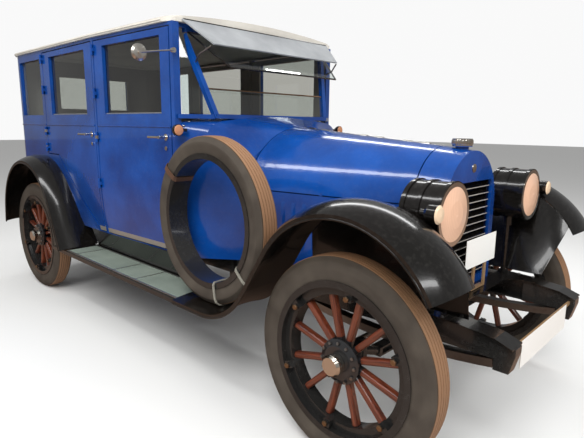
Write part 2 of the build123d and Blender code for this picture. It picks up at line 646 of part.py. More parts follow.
def door_outline(x0, x1, is_rear, grow):
    """Outline of a door, or of its opening when grown by the shut gap."""
    low = DOOR_LOW_Z - grow
    top = DOOR_TOP_Z + grow
    if not is_rear:
        return [(x0 - grow, low), (x1 + grow, low), (x1 + grow, top), (x0 - grow, top)]
    return [
        (REAR_DOOR_TOE[0] - grow, low), (x1 + grow, low), (x1 + grow, top), (x0 - grow, top),
        (x0 - grow, FENDER_CLEAR_Z - grow), (REAR_DOOR_STEP_X - grow, FENDER_CLEAR_Z - grow),
        (REAR_DOOR_TOE[0] - grow, REAR_DOOR_TOE[1] - grow),
    ]


def door_panel(x0, x1, win0, win1, is_rear):
    wall = side_wall(x0 - 50, x1 + 50)
    panel = wall & prism_y(door_outline(x0, x1, is_rear, 0), -BODY_Y - 5, -500)
    return panel - block(win0, win1, -BODY_Y - 5, -500, WINDOW_SILL_Z, WINDOW_TOP_Z)


def hinge_pieces(x, heights):
    """Barrel hinge: body half with pin and end knuckles, door half with the middle knuckle."""
    y = -BODY_Y - HINGE_OUT
    body_half, door_half = [], []
    third = HINGE_LENGTH / 3
    for z in heights:
        low, high = z - HINGE_LENGTH / 2, z + HINGE_LENGTH / 2
        body = rod((x, y, low), (x, y, high), HINGE_PIN_R)
        for a in (low, high - third):
            body += rod((x, y, a), (x, y, a + third), HINGE_R)
            body += block(x - 18, x - 2, y, -BODY_Y + 3, a, a + third)
        mid_low, mid_high = low + third + HINGE_AXIAL_GAP, high - third - HINGE_AXIAL_GAP
        door = rod((x, y, mid_low), (x, y, mid_high), HINGE_R)
        door += block(x + 2, x + 20, y, -BODY_Y + 3, mid_low, mid_high)
        door -= rod((x, y, low - 1), (x, y, high + 1), HINGE_PIN_R + RUNNING_FIT)
        body_half.append(body)
        door_half.append(door)
    return body_half, door_half


# Rear fenders: path of the outer lip, and the crowned section carried along it
REAR_START = (-2050, 500)
REAR_HEADING = 80
REAR_ARC_R = 530
REAR_TURN = 145
REAR_TAIL = 338.5
WHEELHOUSE_Y = 600
PANEL_RISE = 42


def crowned_section(inner_y, crown, inner_rise):
    """Fender section on the right side, drawn as (y, height), with a turned-down lip."""
    lip_in, lip_low = -FENDER_OUT + LIP_WIDTH, -LIP_DROP
    return make_face([
        ThreePointArc((-FENDER_OUT, 0), (CROWN_Y, crown), (-inner_y, inner_rise)),
        Line((-inner_y, inner_rise), (-inner_y, inner_rise - SHEET)),
        ThreePointArc((-inner_y, inner_rise - SHEET), (CROWN_Y + 2, crown - SHEET), (lip_in, -3)),
        Line((lip_in, -3), (lip_in, lip_low)),
        Line((lip_in, lip_low), (-FENDER_OUT, lip_low)),
        Line((-FENDER_OUT, lip_low), (-FENDER_OUT, 0)),
    ])


REAR_RISE = 120
rise_x = REAR_START[0] + REAR_RISE * cos(radians(REAR_HEADING))
rise_z = REAR_START[1] + REAR_RISE * sin(radians(REAR_HEADING))
REAR_ARC_X = rise_x + REAR_ARC_R * sin(radians(REAR_HEADING))
REAR_ARC_Z = rise_z - REAR_ARC_R * cos(radians(REAR_HEADING))
rear_steps = [("run", REAR_RISE), ("arc", REAR_ARC_R, -REAR_TURN), ("run", REAR_TAIL)]
outer_band = ribbon(REAR_START, REAR_HEADING, rear_steps, crowned_section(BODY_Y, CROWN_RISE, PANEL_RISE))
flat = make_face(Polyline(
    (-BODY_Y, PANEL_RISE), (-WHEELHOUSE_Y, PANEL_RISE), (-WHEELHOUSE_Y, PANEL_RISE - SHEET),
    (-BODY_Y, PANEL_RISE - SHEET), close=True))
inner_band = ribbon(REAR_START, REAR_HEADING, rear_steps, flat)
tail_heading = radians(REAR_HEADING - REAR_TURN)
arc_end = (REAR_ARC_X - REAR_ARC_R * sin(tail_heading), REAR_ARC_Z + REAR_ARC_R * cos(tail_heading))
tail_end = (arc_end[0] + REAR_TAIL * cos(tail_heading), arc_end[1] + REAR_TAIL * sin(tail_heading))


def arch_region(grow, y0, y1):
    """Everything under the rear fender's path, with the path set outwards by grow."""
    out_x, out_z = -grow * sin(tail_heading), grow * cos(tail_heading)
    low = REAR_START[1] - 60
    disc = rod((REAR_ARC_X, y0, REAR_ARC_Z), (REAR_ARC_X, y1, REAR_ARC_Z), REAR_ARC_R + grow)
    start = radians(REAR_HEADING)
    lead = (REAR_START[0] - grow * sin(start), REAR_START[1] + grow * cos(start))
    foot = prism_y([
        (arc_end[0] + out_x, arc_end[1] + out_z), (tail_end[0] + out_x, tail_end[1] + out_z),
        (tail_end[0] + out_x, low), (lead[0], low), lead, (rise_x - grow * 0.98, rise_z),
        (REAR_ARC_X, REAR_ARC_Z),
    ], y0, y1)
    return disc + foot


house_wall = arch_region(PANEL_RISE - 1, -WHEELHOUSE_Y - 4, -WHEELHOUSE_Y)
house_wall -= block(-2300, -700, -700, -500, -100, REAR_START[1] + 30)
house_wall -= rod((-AXLE_X, -700, WHEEL_Z), (-AXLE_X, -500, WHEEL_Z), 95)
rear_fender = outer_band + inner_band + house_wall
write("rear_fenders", both(rear_fender))

# Body shell: side panels, pillars, back and floor
outer_edges = [
    *wall_edges[:2],
    Line((-BODY_Y + TUCK_IN, SILL_Z), (BODY_Y - TUCK_IN, SILL_Z)),
    ThreePointArc((BODY_Y - TUCK_IN, SILL_Z), (BODY_Y - 10, 790), (BODY_Y, TUCK_Z)),
    Line((BODY_Y, TUCK_Z), (BODY_Y, ROOF_EDGE_Z)),
    Line((BODY_Y, ROOF_EDGE_Z), (-BODY_Y, ROOF_EDGE_Z)),
]
inner_edges = [
    Line((-INNER_Y, ROOF_EDGE_Z), (-INNER_Y, TUCK_Z)),
    ThreePointArc((-INNER_Y, TUCK_Z), (-INNER_Y + 10, 790), (-INNER_Y + TUCK_IN, SILL_Z)),
    Line((-INNER_Y + TUCK_IN, SILL_Z), (INNER_Y - TUCK_IN, SILL_Z)),
    ThreePointArc((INNER_Y - TUCK_IN, SILL_Z), (INNER_Y - 10, 790), (INNER_Y, TUCK_Z)),
    Line((INNER_Y, TUCK_Z), (INNER_Y, ROOF_EDGE_Z)),
    Line((INNER_Y, ROOF_EDGE_Z), (-INNER_Y, ROOF_EDGE_Z)),
]
CORNER_EASE = 0.3


def rounded_plan(rear_x, half_width, corner_r, z0, z1):
    """Plan of the rear body with two round corners, as a prism."""
    r = corner_r
    half_width += CORNER_EASE
    front_x = FRONT_JOG_X + 20
    path = [
        Line((front_x, -half_width), (rear_x + r, -half_width)),
        RadiusArc((rear_x + r, -half_width), (rear_x, -half_width + r), r),
        Line((rear_x, -half_width + r), (rear_x, half_width - r)),
        RadiusArc((rear_x, half_width - r), (rear_x + r, half_width), r),
        Line((rear_x + r, half_width), (front_x, half_width)),
        Line((front_x, half_width), (front_x, -half_width)),
    ]
    return extrude(Pos(0, 0, z0) * make_face(path), z1 - z0)


PILLAR_LAP = 8
PILLAR_STEP = 1.5
BODY_LOW, BODY_HIGH = 500, 2000
body = prism_x(outer_edges, BODY_REAR_X, FRONT_JOG_X + PILLAR_LAP)
body &= rounded_plan(BODY_REAR_X, BODY_Y, BODY_CORNER_R, BODY_LOW, BODY_HIGH)
hollow = prism_x(inner_edges, BODY_REAR_X, FRONT_JOG_X + PILLAR_LAP)
hollow &= rounded_plan(BODY_REAR_X + WALL, INNER_Y, BODY_CORNER_R - WALL, BODY_LOW, BODY_HIGH)
body -= hollow - block(-2200, 0, -800, 800, 500, SILL_Z + FLOOR_THICK)
front_wall = Pos(0, PILLAR_STEP, 0) * swing_front(side_wall(FRONT_JOG_X, FRONT_POST_X + 20))
body += front_wall + left(front_wall)
floor_half = BODY_Y - TUCK_IN - WALL + 4
floor_front = floor_half - (BODY_Y - FRONT_POST_Y)
body += prism_z([
    (FRONT_JOG_X - 2, -floor_half), (FRONT_POST_X, -floor_front), (FRONT_POST_X, floor_front),
    (FRONT_JOG_X - 2, floor_half),
], SILL_Z, SILL_Z + FLOOR_THICK)
body -= block(FRONT_POST_X + 2.7, 500, -900, 900, 0, 2100)

for spec, is_rear, turn in ((REAR_DOOR, True, False), (FRONT_DOOR, False, True)):
    opening = prism_y(door_outline(spec[0], spec[1], is_rear, DOOR_GAP), -BODY_Y - 20, -480)
    opening = swing_front(opening) if turn else opening
    body -= opening
    body -= left(opening)
arch_cut = arch_region(PANEL_RISE + SEAT_GAP, -BODY_Y - 20, -WHEELHOUSE_Y + SEAT_GAP)
quarter = block(*QUARTER_WINDOW, -BODY_Y - 20, -480, WINDOW_SILL_Z, WINDOW_TOP_Z)
BACK_WINDOW = (330, 1480, 1760)
for cut in (arch_cut, quarter):
    body -= cut
    body -= left(cut)
body -= block(BODY_REAR_X - 20, BODY_REAR_X + WALL + 20, -BACK_WINDOW[0], BACK_WINDOW[0], *BACK_WINDOW[1:])
front_hinges = hinge_pieces(FRONT_DOOR[0] - DOOR_GAP / 2, FRONT_HINGES)
rear_hinges = hinge_pieces(REAR_DOOR[0] - DOOR_GAP / 2, REAR_HINGES)
for piece in front_hinges[0]:
    piece = swing_front(piece)
    body += piece
    body += left(piece)
for piece in rear_hinges[0]:
    body += piece
    body += left(piece)
write("body_shell", body)

LEVER_OUT = 46
LEVER_LEN = 112
LEVER_Z = 1279
LEVER_IN = 48
LEVER_R = 7
SPINDLE_BOSS_R, ESCUTCHEON_R = 9, 19
LOCK_R, LOCK_DROP = 12, 62


def handle(latch_x):
    """Turned spindle with a straight lever pointing rearwards, and the key lock below."""
    x = latch_x - LEVER_IN
    root, lever_y, lock_z = -BODY_Y + 2, -BODY_Y - LEVER_OUT, LEVER_Z - LOCK_DROP
    piece = rod((x, root, LEVER_Z), (x, lever_y - LEVER_R, LEVER_Z), SPINDLE_BOSS_R)
    piece += rod((x, root, LEVER_Z), (x, -BODY_Y - 5, LEVER_Z), ESCUTCHEON_R)
    piece += rod((x + 6, lever_y, LEVER_Z), (x - LEVER_LEN, lever_y, LEVER_Z), LEVER_R)
    return piece + rod((x, root, lock_z), (x, -BODY_Y - 6, lock_z), LOCK_R)


GLASS_Y = BODY_Y - 22


def window_pane(x0, x1):
    """Right-hand side window glass, a seat gap inside its opening all round."""
    return block(x0 + SEAT_GAP, x1 - SEAT_GAP, -GLASS_Y, -GLASS_Y + GLASS,
                 WINDOW_SILL_Z + SEAT_GAP, WINDOW_TOP_Z - SEAT_GAP)


for end, spec, hinges, is_rear in (
    ("front", FRONT_DOOR, front_hinges, False), ("rear", REAR_DOOR, rear_hinges, True),
):
    door = door_panel(*spec, is_rear) + handle(spec[1])
    for piece in hinges[1]:
        door += piece
    pane = window_pane(spec[2], spec[3])
    if not is_rear:
        door, pane = swing_front(door), swing_front(pane)
    write(f"door_{end}_right", door)
    write(f"door_{end}_left", left(door))
    write(f"door_glass_{end}_right", pane)
    write(f"door_glass_{end}_left", left(pane))

# Roof
ROOF_FRONT_X = 338
roof_half = BODY_Y + ROOF_OVERHANG
roof_base = ROOF_EDGE_Z + SEAT_GAP
roof_edges = [
    Line((-roof_half, roof_base), (-roof_half, roof_base + 20)),
    ThreePointArc((-roof_half, roof_base + 20), (0, ROOF_EDGE_Z + ROOF_CROWN), (roof_half, roof_base + 20)),
    Line((roof_half, roof_base + 20), (roof_half, roof_base)),
    Line((roof_half, roof_base), (INNER_Y, roof_base)),
    ThreePointArc((INNER_Y, roof_base), (0, ROOF_EDGE_Z + ROOF_CROWN - ROOF_THICK), (-INNER_Y, roof_base)),
    Line((-INNER_Y, roof_base), (-roof_half, roof_base)),
]
roof_rear = BODY_REAR_X - ROOF_OVERHANG
front_half = FRONT_POST_Y + ROOF_OVERHANG
r = BODY_CORNER_R + ROOF_OVERHANG
plan_half = roof_half + CORNER_EASE
plan = make_face(Polyline(
    (roof_rear, -plan_half), (FRONT_JOG_X, -plan_half), (ROOF_FRONT_X, -front_half),
    (ROOF_FRONT_X, front_half), (FRONT_JOG_X, plan_half), (roof_rear, plan_half), close=True))
corners = plan.vertices()
plan = fillet([v for v in corners if v.X < roof_rear + 1], r)
plan = fillet([v for v in plan.vertices() if v.X > ROOF_FRONT_X - 1], 90)
roof = prism_x(roof_edges, roof_rear, ROOF_FRONT_X) & extrude(Pos(0, 0, 1850) * plan, 200)
RAIL_STEPS = ((480, 36), (640, 22))
for half, high in RAIL_STEPS:
    roof += block(ROOF_FRONT_X - 40, ROOF_FRONT_X - 0.5, -half, half, roof_base, roof_base + high)
roof += block(roof_rear + 30, roof_rear + 70, -400, 400, roof_base, roof_base + RAIL_STEPS[0][1])
write("roof", roof)

# Windscreen: posts, rails, fixed panes and the sun visor
BASE_X, BASE_Y, BASE_Z = 450, 462, 1388
TOP_X, TOP_Y, TOP_Z = 296, 585, 1880
POST = 30


def bar(start, end, wide, deep):
    """Straight bar of rectangular section."""
    a, b = Vector(*start), Vector(*end)
    return extrude(Plane(origin=a, x_dir=(0, 1, 0), z_dir=b - a) * Rectangle(wide, deep), (b - a).length)


def on_post(z):
    """Right-hand post's centre line at a height."""
    share = (z - BASE_Z) / (TOP_Z - BASE_Z)
    return (BASE_X + share * (TOP_X - BASE_X), -BASE_Y - share * (TOP_Y - BASE_Y), z)


post = bar(on_post(BASE_Z), on_post(TOP_Z), POST, POST)
screen_frame = post + left(post)
screen_frame += block(BASE_X - 16, BASE_X + 16, -BASE_Y - 10, BASE_Y + 10, BASE_Z - 2, BASE_Z + 22)
screen_frame += block(TOP_X - 16, TOP_X + 16, -TOP_Y - 12, TOP_Y + 12, TOP_Z - 30, ROOF_EDGE_Z)
corner_low = (FRONT_POST_X + 3, -FRONT_POST_Y + 22, BASE_Z + 8)
sill = bar(corner_low, on_post(BASE_Z + 8), 24, 24)
screen_frame += sill + left(sill)
screen_frame -= block(200, FRONT_POST_X + 3, -900, -560, 0, 1870)
screen_frame -= block(200, FRONT_POST_X + 3, 560, 900, 0, 1870)
cowl_fit = cowl_outer & block(300, 700, -700, 700, 1200, 1500)
screen_frame -= cowl_fit
write("windscreen_frame", screen_frame)

LOWER_PANE_TOP_Z = 1548
UPPER_PANE_LOW = (560, 446, 1656)
UPPER_PANE_TOP_Z = 1846


def plate_between(points, thick):
    """Flat plate whose one face passes through the corner points."""
    face = make_face(Polyline(*points, close=True))
    return extrude(face, thick, dir=tuple(face.faces()[0].normal_at()))


def mirror_point(p):
    return (p[0], -p[1], p[2])


EDGE = POST / 2 + 1.5
PANE_EASE = 2
UPPER_PANE_OUT = 8
low, high = on_post(BASE_Z + 24), on_post(LOWER_PANE_TOP_Z)
low_in, high_in = ((p[0], p[1] + EDGE + PANE_EASE, p[2]) for p in (low, high))
panes = [plate_between([low_in, mirror_point(low_in), mirror_point(high_in), high_in], GLASS)]
top = on_post(UPPER_PANE_TOP_Z)
top_in = (top[0] + EDGE + UPPER_PANE_OUT, top[1] + 22, top[2])
bottom = (UPPER_PANE_LOW[0], -UPPER_PANE_LOW[1], UPPER_PANE_LOW[2])
panes.append(plate_between([top_in, mirror_point(top_in), mirror_point(bottom), bottom], GLASS))
corner = [
    (FRONT_POST_X + 10, -FRONT_POST_Y + 48, BASE_Z + 24), (low[0] - 26, low[1] - 12, BASE_Z + 24),
    (on_post(1850)[0] - 10, on_post(1850)[1] - 24, 1850),
]
corner_pane = plate_between(corner, GLASS)
panes += both(corner_pane)
panes += both(window_pane(*QUARTER_WINDOW))
back_half, back_low, back_high = BACK_WINDOW
back_pane_x = BODY_REAR_X + 20
panes.append(block(back_pane_x, back_pane_x + GLASS, -back_half + SEAT_GAP, back_half - SEAT_GAP,
                   back_low + SEAT_GAP, back_high - SEAT_GAP))
write("fixed_glass", panes)

VISOR_TIP = (508, 518, 1768)
VISOR_ROOT = (ROOF_FRONT_X + 1, 600, ROOF_EDGE_Z + 10)
root, tip = (VISOR_ROOT[0], -VISOR_ROOT[1], VISOR_ROOT[2]), (VISOR_TIP[0], -VISOR_TIP[1], VISOR_TIP[2])
visor = plate_between([root, mirror_point(root), mirror_point(tip), tip], 8)
write("sun_visor", visor)

# Seats: plain closed cushions and backs on wooden boxes
FLOOR_Z = SILL_Z + FLOOR_THICK
CUSHION_LOW = 800
CUSHION_TOP = 955
CUSHION_ROUND = 40
BACK_TOP = 1400
BACK_FOOT = 130
BOX_SET_IN = 30
BOX_INSET = 20
SEATS = (("front", -330, 190, 560), ("rear", -1560, -1010, 560))
for name, back_x, front_x, half in SEATS:
    seat_base = block(back_x - BACK_FOOT, front_x - BOX_SET_IN, -half + BOX_INSET, half - BOX_INSET,
                      FLOOR_Z + SEAT_GAP, CUSHION_LOW - 2 * SEAT_GAP)
    cushion = block(back_x + 24, front_x, -half, half, CUSHION_LOW, CUSHION_TOP)
    cushion = fillet(cushion.edges().filter_by(Axis.Y), CUSHION_ROUND)
    back_low = CUSHION_LOW + 1
    side_view = make_face(Polyline(
        (back_x + 12, back_low), (back_x - 120, BACK_TOP), (back_x - 240, BACK_TOP - 30),
        (back_x - 128, back_low), close=True))
    back = extrude(Plane.XZ * side_view, half, both=True)
    back = fillet(back.edges().filter_by(Axis.Y).sort_by(Axis.Z)[-2:], CUSHION_ROUND)
    write(f"seat_base_{name}", seat_base)
    write(f"seat_{name}", [cushion, back])

# Steering column on the left, and its wheel
COLUMN_LOW = (640, 330, 840)
COLUMN_HIGH = (196, 330, 1186)
COLUMN_R, SHAFT_R = 19, 9
column = rod(COLUMN_LOW, COLUMN_HIGH, COLUMN_R)
column &= block(COLUMN_HIGH[0] - 50, COWL_FRONT_X - FIREWALL - SEAT_GAP, 200, 460, 700, 1400)
column += block(413, 431, 300, 360, 1010, 1189.6)
axis = (Vector(*COLUMN_HIGH) - Vector(*COLUMN_LOW)).normalized()
hub_at = Vector(*COLUMN_HIGH) - axis * 20
column -= rod(tuple(hub_at - axis * 2), tuple(hub_at + axis * 60), 22)
spindle_top = hub_at + axis * 40
column += rod(tuple(hub_at - axis * 30), tuple(spindle_top), SHAFT_R)
write("steering_column", column)
WHEEL_R, GRIP_R, WHEEL_HUB_R = 215, 13, 32
plane = Plane(origin=tuple(hub_at + axis * 4), z_dir=axis)
ring = plane * Pos(0, 0, 18) * Torus(WHEEL_R, GRIP_R)
wheel = ring + plane * Pos(0, 0, 14) * Cylinder(WHEEL_HUB_R, 28)
for i in range(4):
    wheel += plane * Rot(0, 0, 45 + 90 * i) * Pos(WHEEL_R / 2, 0, 16) * Box(WHEEL_R - 4, 20, 8)
wheel -= rod(tuple(hub_at - axis * 40), tuple(spindle_top + axis * 2), SHAFT_R + RUNNING_FIT)
write("steering_wheel", wheel)

# Front fenders: running-board tail, rising slope, then the arch over the wheel
TAIL_Z = 455
TAIL_CROWN = 14
ARCH_X = 1640
ARCH_Z = 595
ARCH_R = 450
SLOPE = 57
SLOPE_LOW = (1119.7, 620)
INNER_RISE = 10
TIP_HEADING = -61.5


def path_plane(x, z, heading):
    along = (cos(radians(heading)), 0, sin(radians(heading)))
    return Plane(origin=(x, 0, z), x_dir=(0, 1, 0), z_dir=along)


slope_r = (SLOPE_LOW[1] - TAIL_Z) / (1 - cos(radians(SLOPE)))
tail_run = SLOPE_LOW[0] - slope_r * sin(radians(SLOPE)) - BOARD_FRONT_X - SEAT_GAP
slope_high = (ARCH_X - ARCH_R * sin(radians(SLOPE)), ARCH_Z + ARCH_R * cos(radians(SLOPE)))
low_section = crowned_section(FENDER_IN, TAIL_CROWN, TAIL_CROWN / 3)
high_section = crowned_section(FENDER_IN, CROWN_RISE, INNER_RISE)
tail_steps = [("run", tail_run), ("arc", slope_r, SLOPE)]
front_fender = ribbon((BOARD_FRONT_X + SEAT_GAP, TAIL_Z), 0, tail_steps, low_section)
front_fender += loft([
    path_plane(*SLOPE_LOW, SLOPE) * low_section, path_plane(*slope_high, SLOPE) * high_section,
], ruled=True)
front_fender += ribbon(slope_high, SLOPE, [("arc", ARCH_R, TIP_HEADING - SLOPE)], high_section)
write("front_fenders", both(front_fender))

# Running boards on forged brackets
BOARD_THICK = 25
BRACKETS_X = (-980, -420, 140, 520)
BRACKET_HALF, BRACKET_THICK, BRACKET_LEG = 18, 16, 14
TREAD_REAR_X, TREAD_THICK = -850, 3
TREAD_SET_OUT, TREAD_SET_IN = 8, 14
board_low = BOARD_TOP_Z - BOARD_THICK
bracket_low = board_low - BRACKET_THICK
board = block(BOARD_REAR_X, BOARD_FRONT_X, -BOARD_OUT, -BOARD_IN, board_low, BOARD_TOP_Z)
for x in BRACKETS_X:
    x0, x1, leg_y = x - BRACKET_HALF, x + BRACKET_HALF, -RAIL_OUT - SEAT_GAP
    board += block(x0, x1, -BOARD_OUT + 30, leg_y, bracket_low, board_low)
    board += block(x0, x1, -RAIL_OUT - BRACKET_LEG, leg_y, bracket_low, RAIL_TOP - 12)
board += block(TREAD_REAR_X, BOARD_FRONT_X - TREAD_SET_OUT, -BOARD_OUT + TREAD_SET_OUT,
               -BOARD_IN - TREAD_SET_IN, BOARD_TOP_Z, BOARD_TOP_Z + TREAD_THICK)
write("running_boards", both(board))

# Aprons: valance above the board, ledge beside the bonnet, inner wing panel and front apron
VALANCE_TOP_Y = 642
VALANCE_REAR_X = -840
LEDGE_OUT = RAIL_OUT + 8
APRON = 4
valance = prism_x([
    Line((-BOARD_IN - 4, BOARD_TOP_Z + SEAT_GAP), (-VALANCE_TOP_Y, SILL_Z - SEAT_GAP)),
    Line((-VALANCE_TOP_Y, SILL_Z - SEAT_GAP), (-VALANCE_TOP_Y + APRON, SILL_Z - SEAT_GAP)),
    Line((-VALANCE_TOP_Y + APRON, SILL_Z - SEAT_GAP), (-BOARD_IN - 4 + APRON, BOARD_TOP_Z + SEAT_GAP)),
    Line((-BOARD_IN - 4 + APRON, BOARD_TOP_Z + SEAT_GAP), (-BOARD_IN - 4, BOARD_TOP_Z + SEAT_GAP)),
], VALANCE_REAR_X, FRONT_POST_X)
ledge_in = 8
ledge = prism_z([
    (COWL_FRONT_X + 1, -LEDGE_OUT), (SHELL_REAR_X - 1, -LEDGE_OUT),
    (SHELL_REAR_X - 1, -BONNET_FRONT[0] + ledge_in), (COWL_FRONT_X + 1, -LEDGE_OUT + 20),
], APRON_TOP_Z - APRON, APRON_TOP_Z)
ledge += block(COWL_FRONT_X + 1, SHELL_REAR_X - 1, -LEDGE_OUT, -LEDGE_OUT + APRON,
               RAIL_TOP + SEAT_GAP, APRON_TOP_Z)
arch_low, arch_high = ARCH_R + INNER_RISE - SHEET - 4, ARCH_R + INNER_RISE - SHEET
turn_a, turn_b = radians(140), radians(34)


def arch_point(radius, angle):
    return (ARCH_X + radius * cos(angle), ARCH_Z + radius * sin(angle))


turn_mid = (turn_a + turn_b) / 2
SKIRT_FOOT = (1150, 1960)
upper = Plane(origin=(0, -FENDER_IN, 0), x_dir=(1, 0, 0), z_dir=(0, -1, 0))
upper_band = make_face([
    ThreePointArc(*[arch_point(arch_high, turn) for turn in (turn_a, turn_mid, turn_b)]),
    Line(arch_point(arch_high, turn_b), arch_point(arch_low, turn_b)),
    ThreePointArc(arch_point(arch_low, turn_b), arch_point(arch_low, turn_mid), arch_point(arch_low, turn_a)),
    Line(arch_point(arch_low, turn_a), arch_point(arch_high, turn_a)),
])
lower = Plane(origin=(0, -LEDGE_OUT - SEAT_GAP, 0), x_dir=(1, 0, 0), z_dir=(0, -1, 0))
foot_z, foot_top = APRON_TOP_Z - APRON, APRON_TOP_Z
foot_rear, foot_front = SKIRT_FOOT
lower_band = make_face([
    Line((foot_rear, foot_top), (foot_front, foot_top)), Line((foot_front, foot_top), (foot_front, foot_z)),
    Line((foot_front, foot_z), (foot_rear, foot_z)), Line((foot_rear, foot_z), (foot_rear, foot_top)),
])
skirt = loft([upper * upper_band, lower * lower_band], ruled=True)
write("side_aprons", both(valance) + both(ledge) + both(skirt))

APRON_OUT = 436
BASKET_IN = 335
BASKET_REAR_X = 1836
apron_line = [(1752, RAIL_TOP), (1930, RAIL_TOP - 8), (2070, HORN_Z + 46), (HORN_X - 4, HORN_Z + 21)]
lift = SEAT_GAP + 0.5
apron_face = [(x, z + lift) for x, z in apron_line]
apron_face += [(x, z + lift + APRON) for x, z in reversed(apron_line)]
front_apron = prism_y(apron_face, -APRON_OUT, APRON_OUT)
basket = fillet(Rectangle(2 * 400, 2 * BASKET_IN).vertices(), 90)
front_apron -= extrude(Pos(BASKET_REAR_X + 400, 0, 400) * basket, 300)
write("front_apron", front_apron)

# Headlamps on their posts, with the brackets of the side lamps
LAMP_X = (1676, 1872)
LAMP_Y = 422
LAMP_Z = 1022
LAMP_R = 125
LAMP_WALL = 6
LENS_R = 108
LENS_BACK = 10
LENS_RISE = 12
POST_X = 1775
POST_Y = 398
POST_FOOT_Z = RAIL_TOP + lift + APRON + SEAT_GAP
SIDE_LAMP = (1846, -594, 1045)


def ring_x(outline):
    """Solid of revolution about X from an outline of (x, radius) points."""
    return revolve(make_face(Polyline(*[(x, r, 0) for x, r in outline], close=True)), Axis.X)


rear_x, front_x = LAMP_X
seat_back_x = front_x - LENS_BACK - LAMP_WALL
drum = ring_x([
    (rear_x, 0), (rear_x, LAMP_R - 40), (rear_x + 22, LAMP_R - 6), (rear_x + 22, LAMP_R), (front_x, LAMP_R),
    (front_x, LENS_R), (front_x - LENS_BACK, LENS_R), (front_x - LENS_BACK, LENS_R - LAMP_WALL),
    (seat_back_x, LENS_R - LAMP_WALL), (seat_back_x, LAMP_R - LAMP_WALL),
    (rear_x + 34, LAMP_R - LAMP_WALL), (rear_x + 16, LAMP_R - 46), (rear_x + LAMP_WALL, 0),
])
for x in (rear_x + 30, rear_x + 96, front_x - 16):
    drum += ring_x([(x, LAMP_R - 2), (x, LAMP_R + 5), (x + 14, LAMP_R + 5), (x + 14, LAMP_R - 2)])
lamp = Pos(0, -LAMP_Y, LAMP_Z) * drum
lamp += rod((POST_X, -POST_Y, POST_FOOT_Z), (POST_X, -POST_Y, LAMP_Z - LAMP_R + 8), 13)
lamp += rod((POST_X, -POST_Y, POST_FOOT_Z), (POST_X, -POST_Y, POST_FOOT_Z + 10), 26)
lamp += rod((POST_X, -POST_Y, LAMP_Z - LAMP_R - 40), (POST_X, -POST_Y, LAMP_Z - LAMP_R + 8), 22)
side_x, side_y, side_z = SIDE_LAMP
lamp += rod((side_x - 12, -LAMP_Y - LAMP_R + 3, side_z), (side_x - 12, side_y, side_z), 8)
lamp += rod((side_x - 22, side_y, side_z), (side_x - SEAT_GAP, side_y, side_z), 14)
write("headlamps", both(lamp))
lens = ring_x([
    (front_x - LENS_BACK + SEAT_GAP, 0), (front_x - LENS_BACK + SEAT_GAP, LENS_R - SEAT_GAP),
    (front_x, LENS_R - SEAT_GAP), (front_x + LENS_RISE - 3, LENS_R / 2), (front_x + LENS_RISE, 0),
])
write("headlamp_lenses", both(Pos(0, -LAMP_Y, LAMP_Z) * lens))

# Side lamps on the headlamps and small lamps on the cowl
SIDE_LAMP_OUTLINE = ((0, 0), (0, 24), (14, 35), (50, 35), (56, 28), (60, 0))
side_lamp = ring_x([(side_x + dx, r) for dx, r in SIDE_LAMP_OUTLINE])
COWL_LAMP = (400, -690, 1321)
lamp_x, lamp_y, lamp_z = COWL_LAMP
COWL_LAMP_OUTLINE = ((-24, 0), (-20, 20), (0, 31), (16, 31), (22, 24), (26, 0))
cowl_lamp = Pos(0, lamp_y, lamp_z) * ring_x([(lamp_x + dx, r) for dx, r in COWL_LAMP_OUTLINE])
cowl_lamp += rod((lamp_x, lamp_y + 20, lamp_z), (lamp_x, lamp_y + 60, lamp_z), 9)
write("side_lamps", both(Pos(0, side_y, side_z) * side_lamp) + both(cowl_lamp))

# Driving mirror on the right-hand front post
MIRROR = (360, -872, 1706)
MIRROR_R = 43
MIRROR_FOOT = (352, -664, 1740)
mirror_x, mirror_y, mirror_z = MIRROR
glass = Pos(0, mirror_y, mirror_z) * ring_x([
    (mirror_x - 5, 0), (mirror_x - 5, MIRROR_R - 3), (mirror_x - 3, MIRROR_R), (mirror_x + 1, MIRROR_R),
    (mirror_x + 5, MIRROR_R - 12), (mirror_x + 8, 0),
])
mirror = glass + rod((mirror_x + 4, mirror_y, mirror_z), (mirror_x + 14, mirror_y, mirror_z), 9)
mirror += rod((mirror_x + 11, mirror_y, mirror_z), MIRROR_FOOT, 5)
foot_x, foot_y, foot_z = MIRROR_FOOT
mirror += rod((foot_x - 12.5, foot_y, foot_z), (foot_x + 4, foot_y, foot_z), 14)
write("mirror", mirror)

# Spare tyre standing on the tail of the right-hand front fender
spare_place = Pos(SPARE_X, -SPARE_Y, TAIL_Z + TAIL_CROWN + SEAT_GAP + SPARE_DIA / 2)
write("spare_tyre", spare_place * tyre(SPARE_DIA, TYRE_WIDTH))
write("spare_rim", spare_place * rim_channel())

# Blank number plates on their carriers
PLATE = 3
RADIATOR_PLATE = (1800, 30, 790, 320, 135)
FRONT_PLATE = (2120, 0, 482, 570, 115)
PLATE_POSTS_Y, PLATE_POST_HALF = (-60, 60), 12
x, y, z, wide, high = RADIATOR_PLATE
upper_plate = block(x, x + PLATE, y - wide / 2, y + wide / 2, z - high / 2, z + high / 2)
for dy in PLATE_POSTS_Y:
    post_y = y + dy
    post_sides = (post_y - PLATE_POST_HALF, post_y + PLATE_POST_HALF)
    upper_plate += block(x - 6, x + 1, *post_sides, POST_FOOT_Z, z + 30)
upper_plate += block(x - 24, x + 1, y - 72, y + 72, POST_FOOT_Z, POST_FOOT_Z + 6)
x, y, z, wide, high = FRONT_PLATE
lower_plate = block(x - 1, x + PLATE - 1, y - wide / 2, y + wide / 2, z - high / 2, z + high / 2)
lower_plate += block(x - 10, x, -RAIL_IN + SEAT_GAP, RAIL_IN - SEAT_GAP, HORN_Z - 8, HORN_Z + 8)
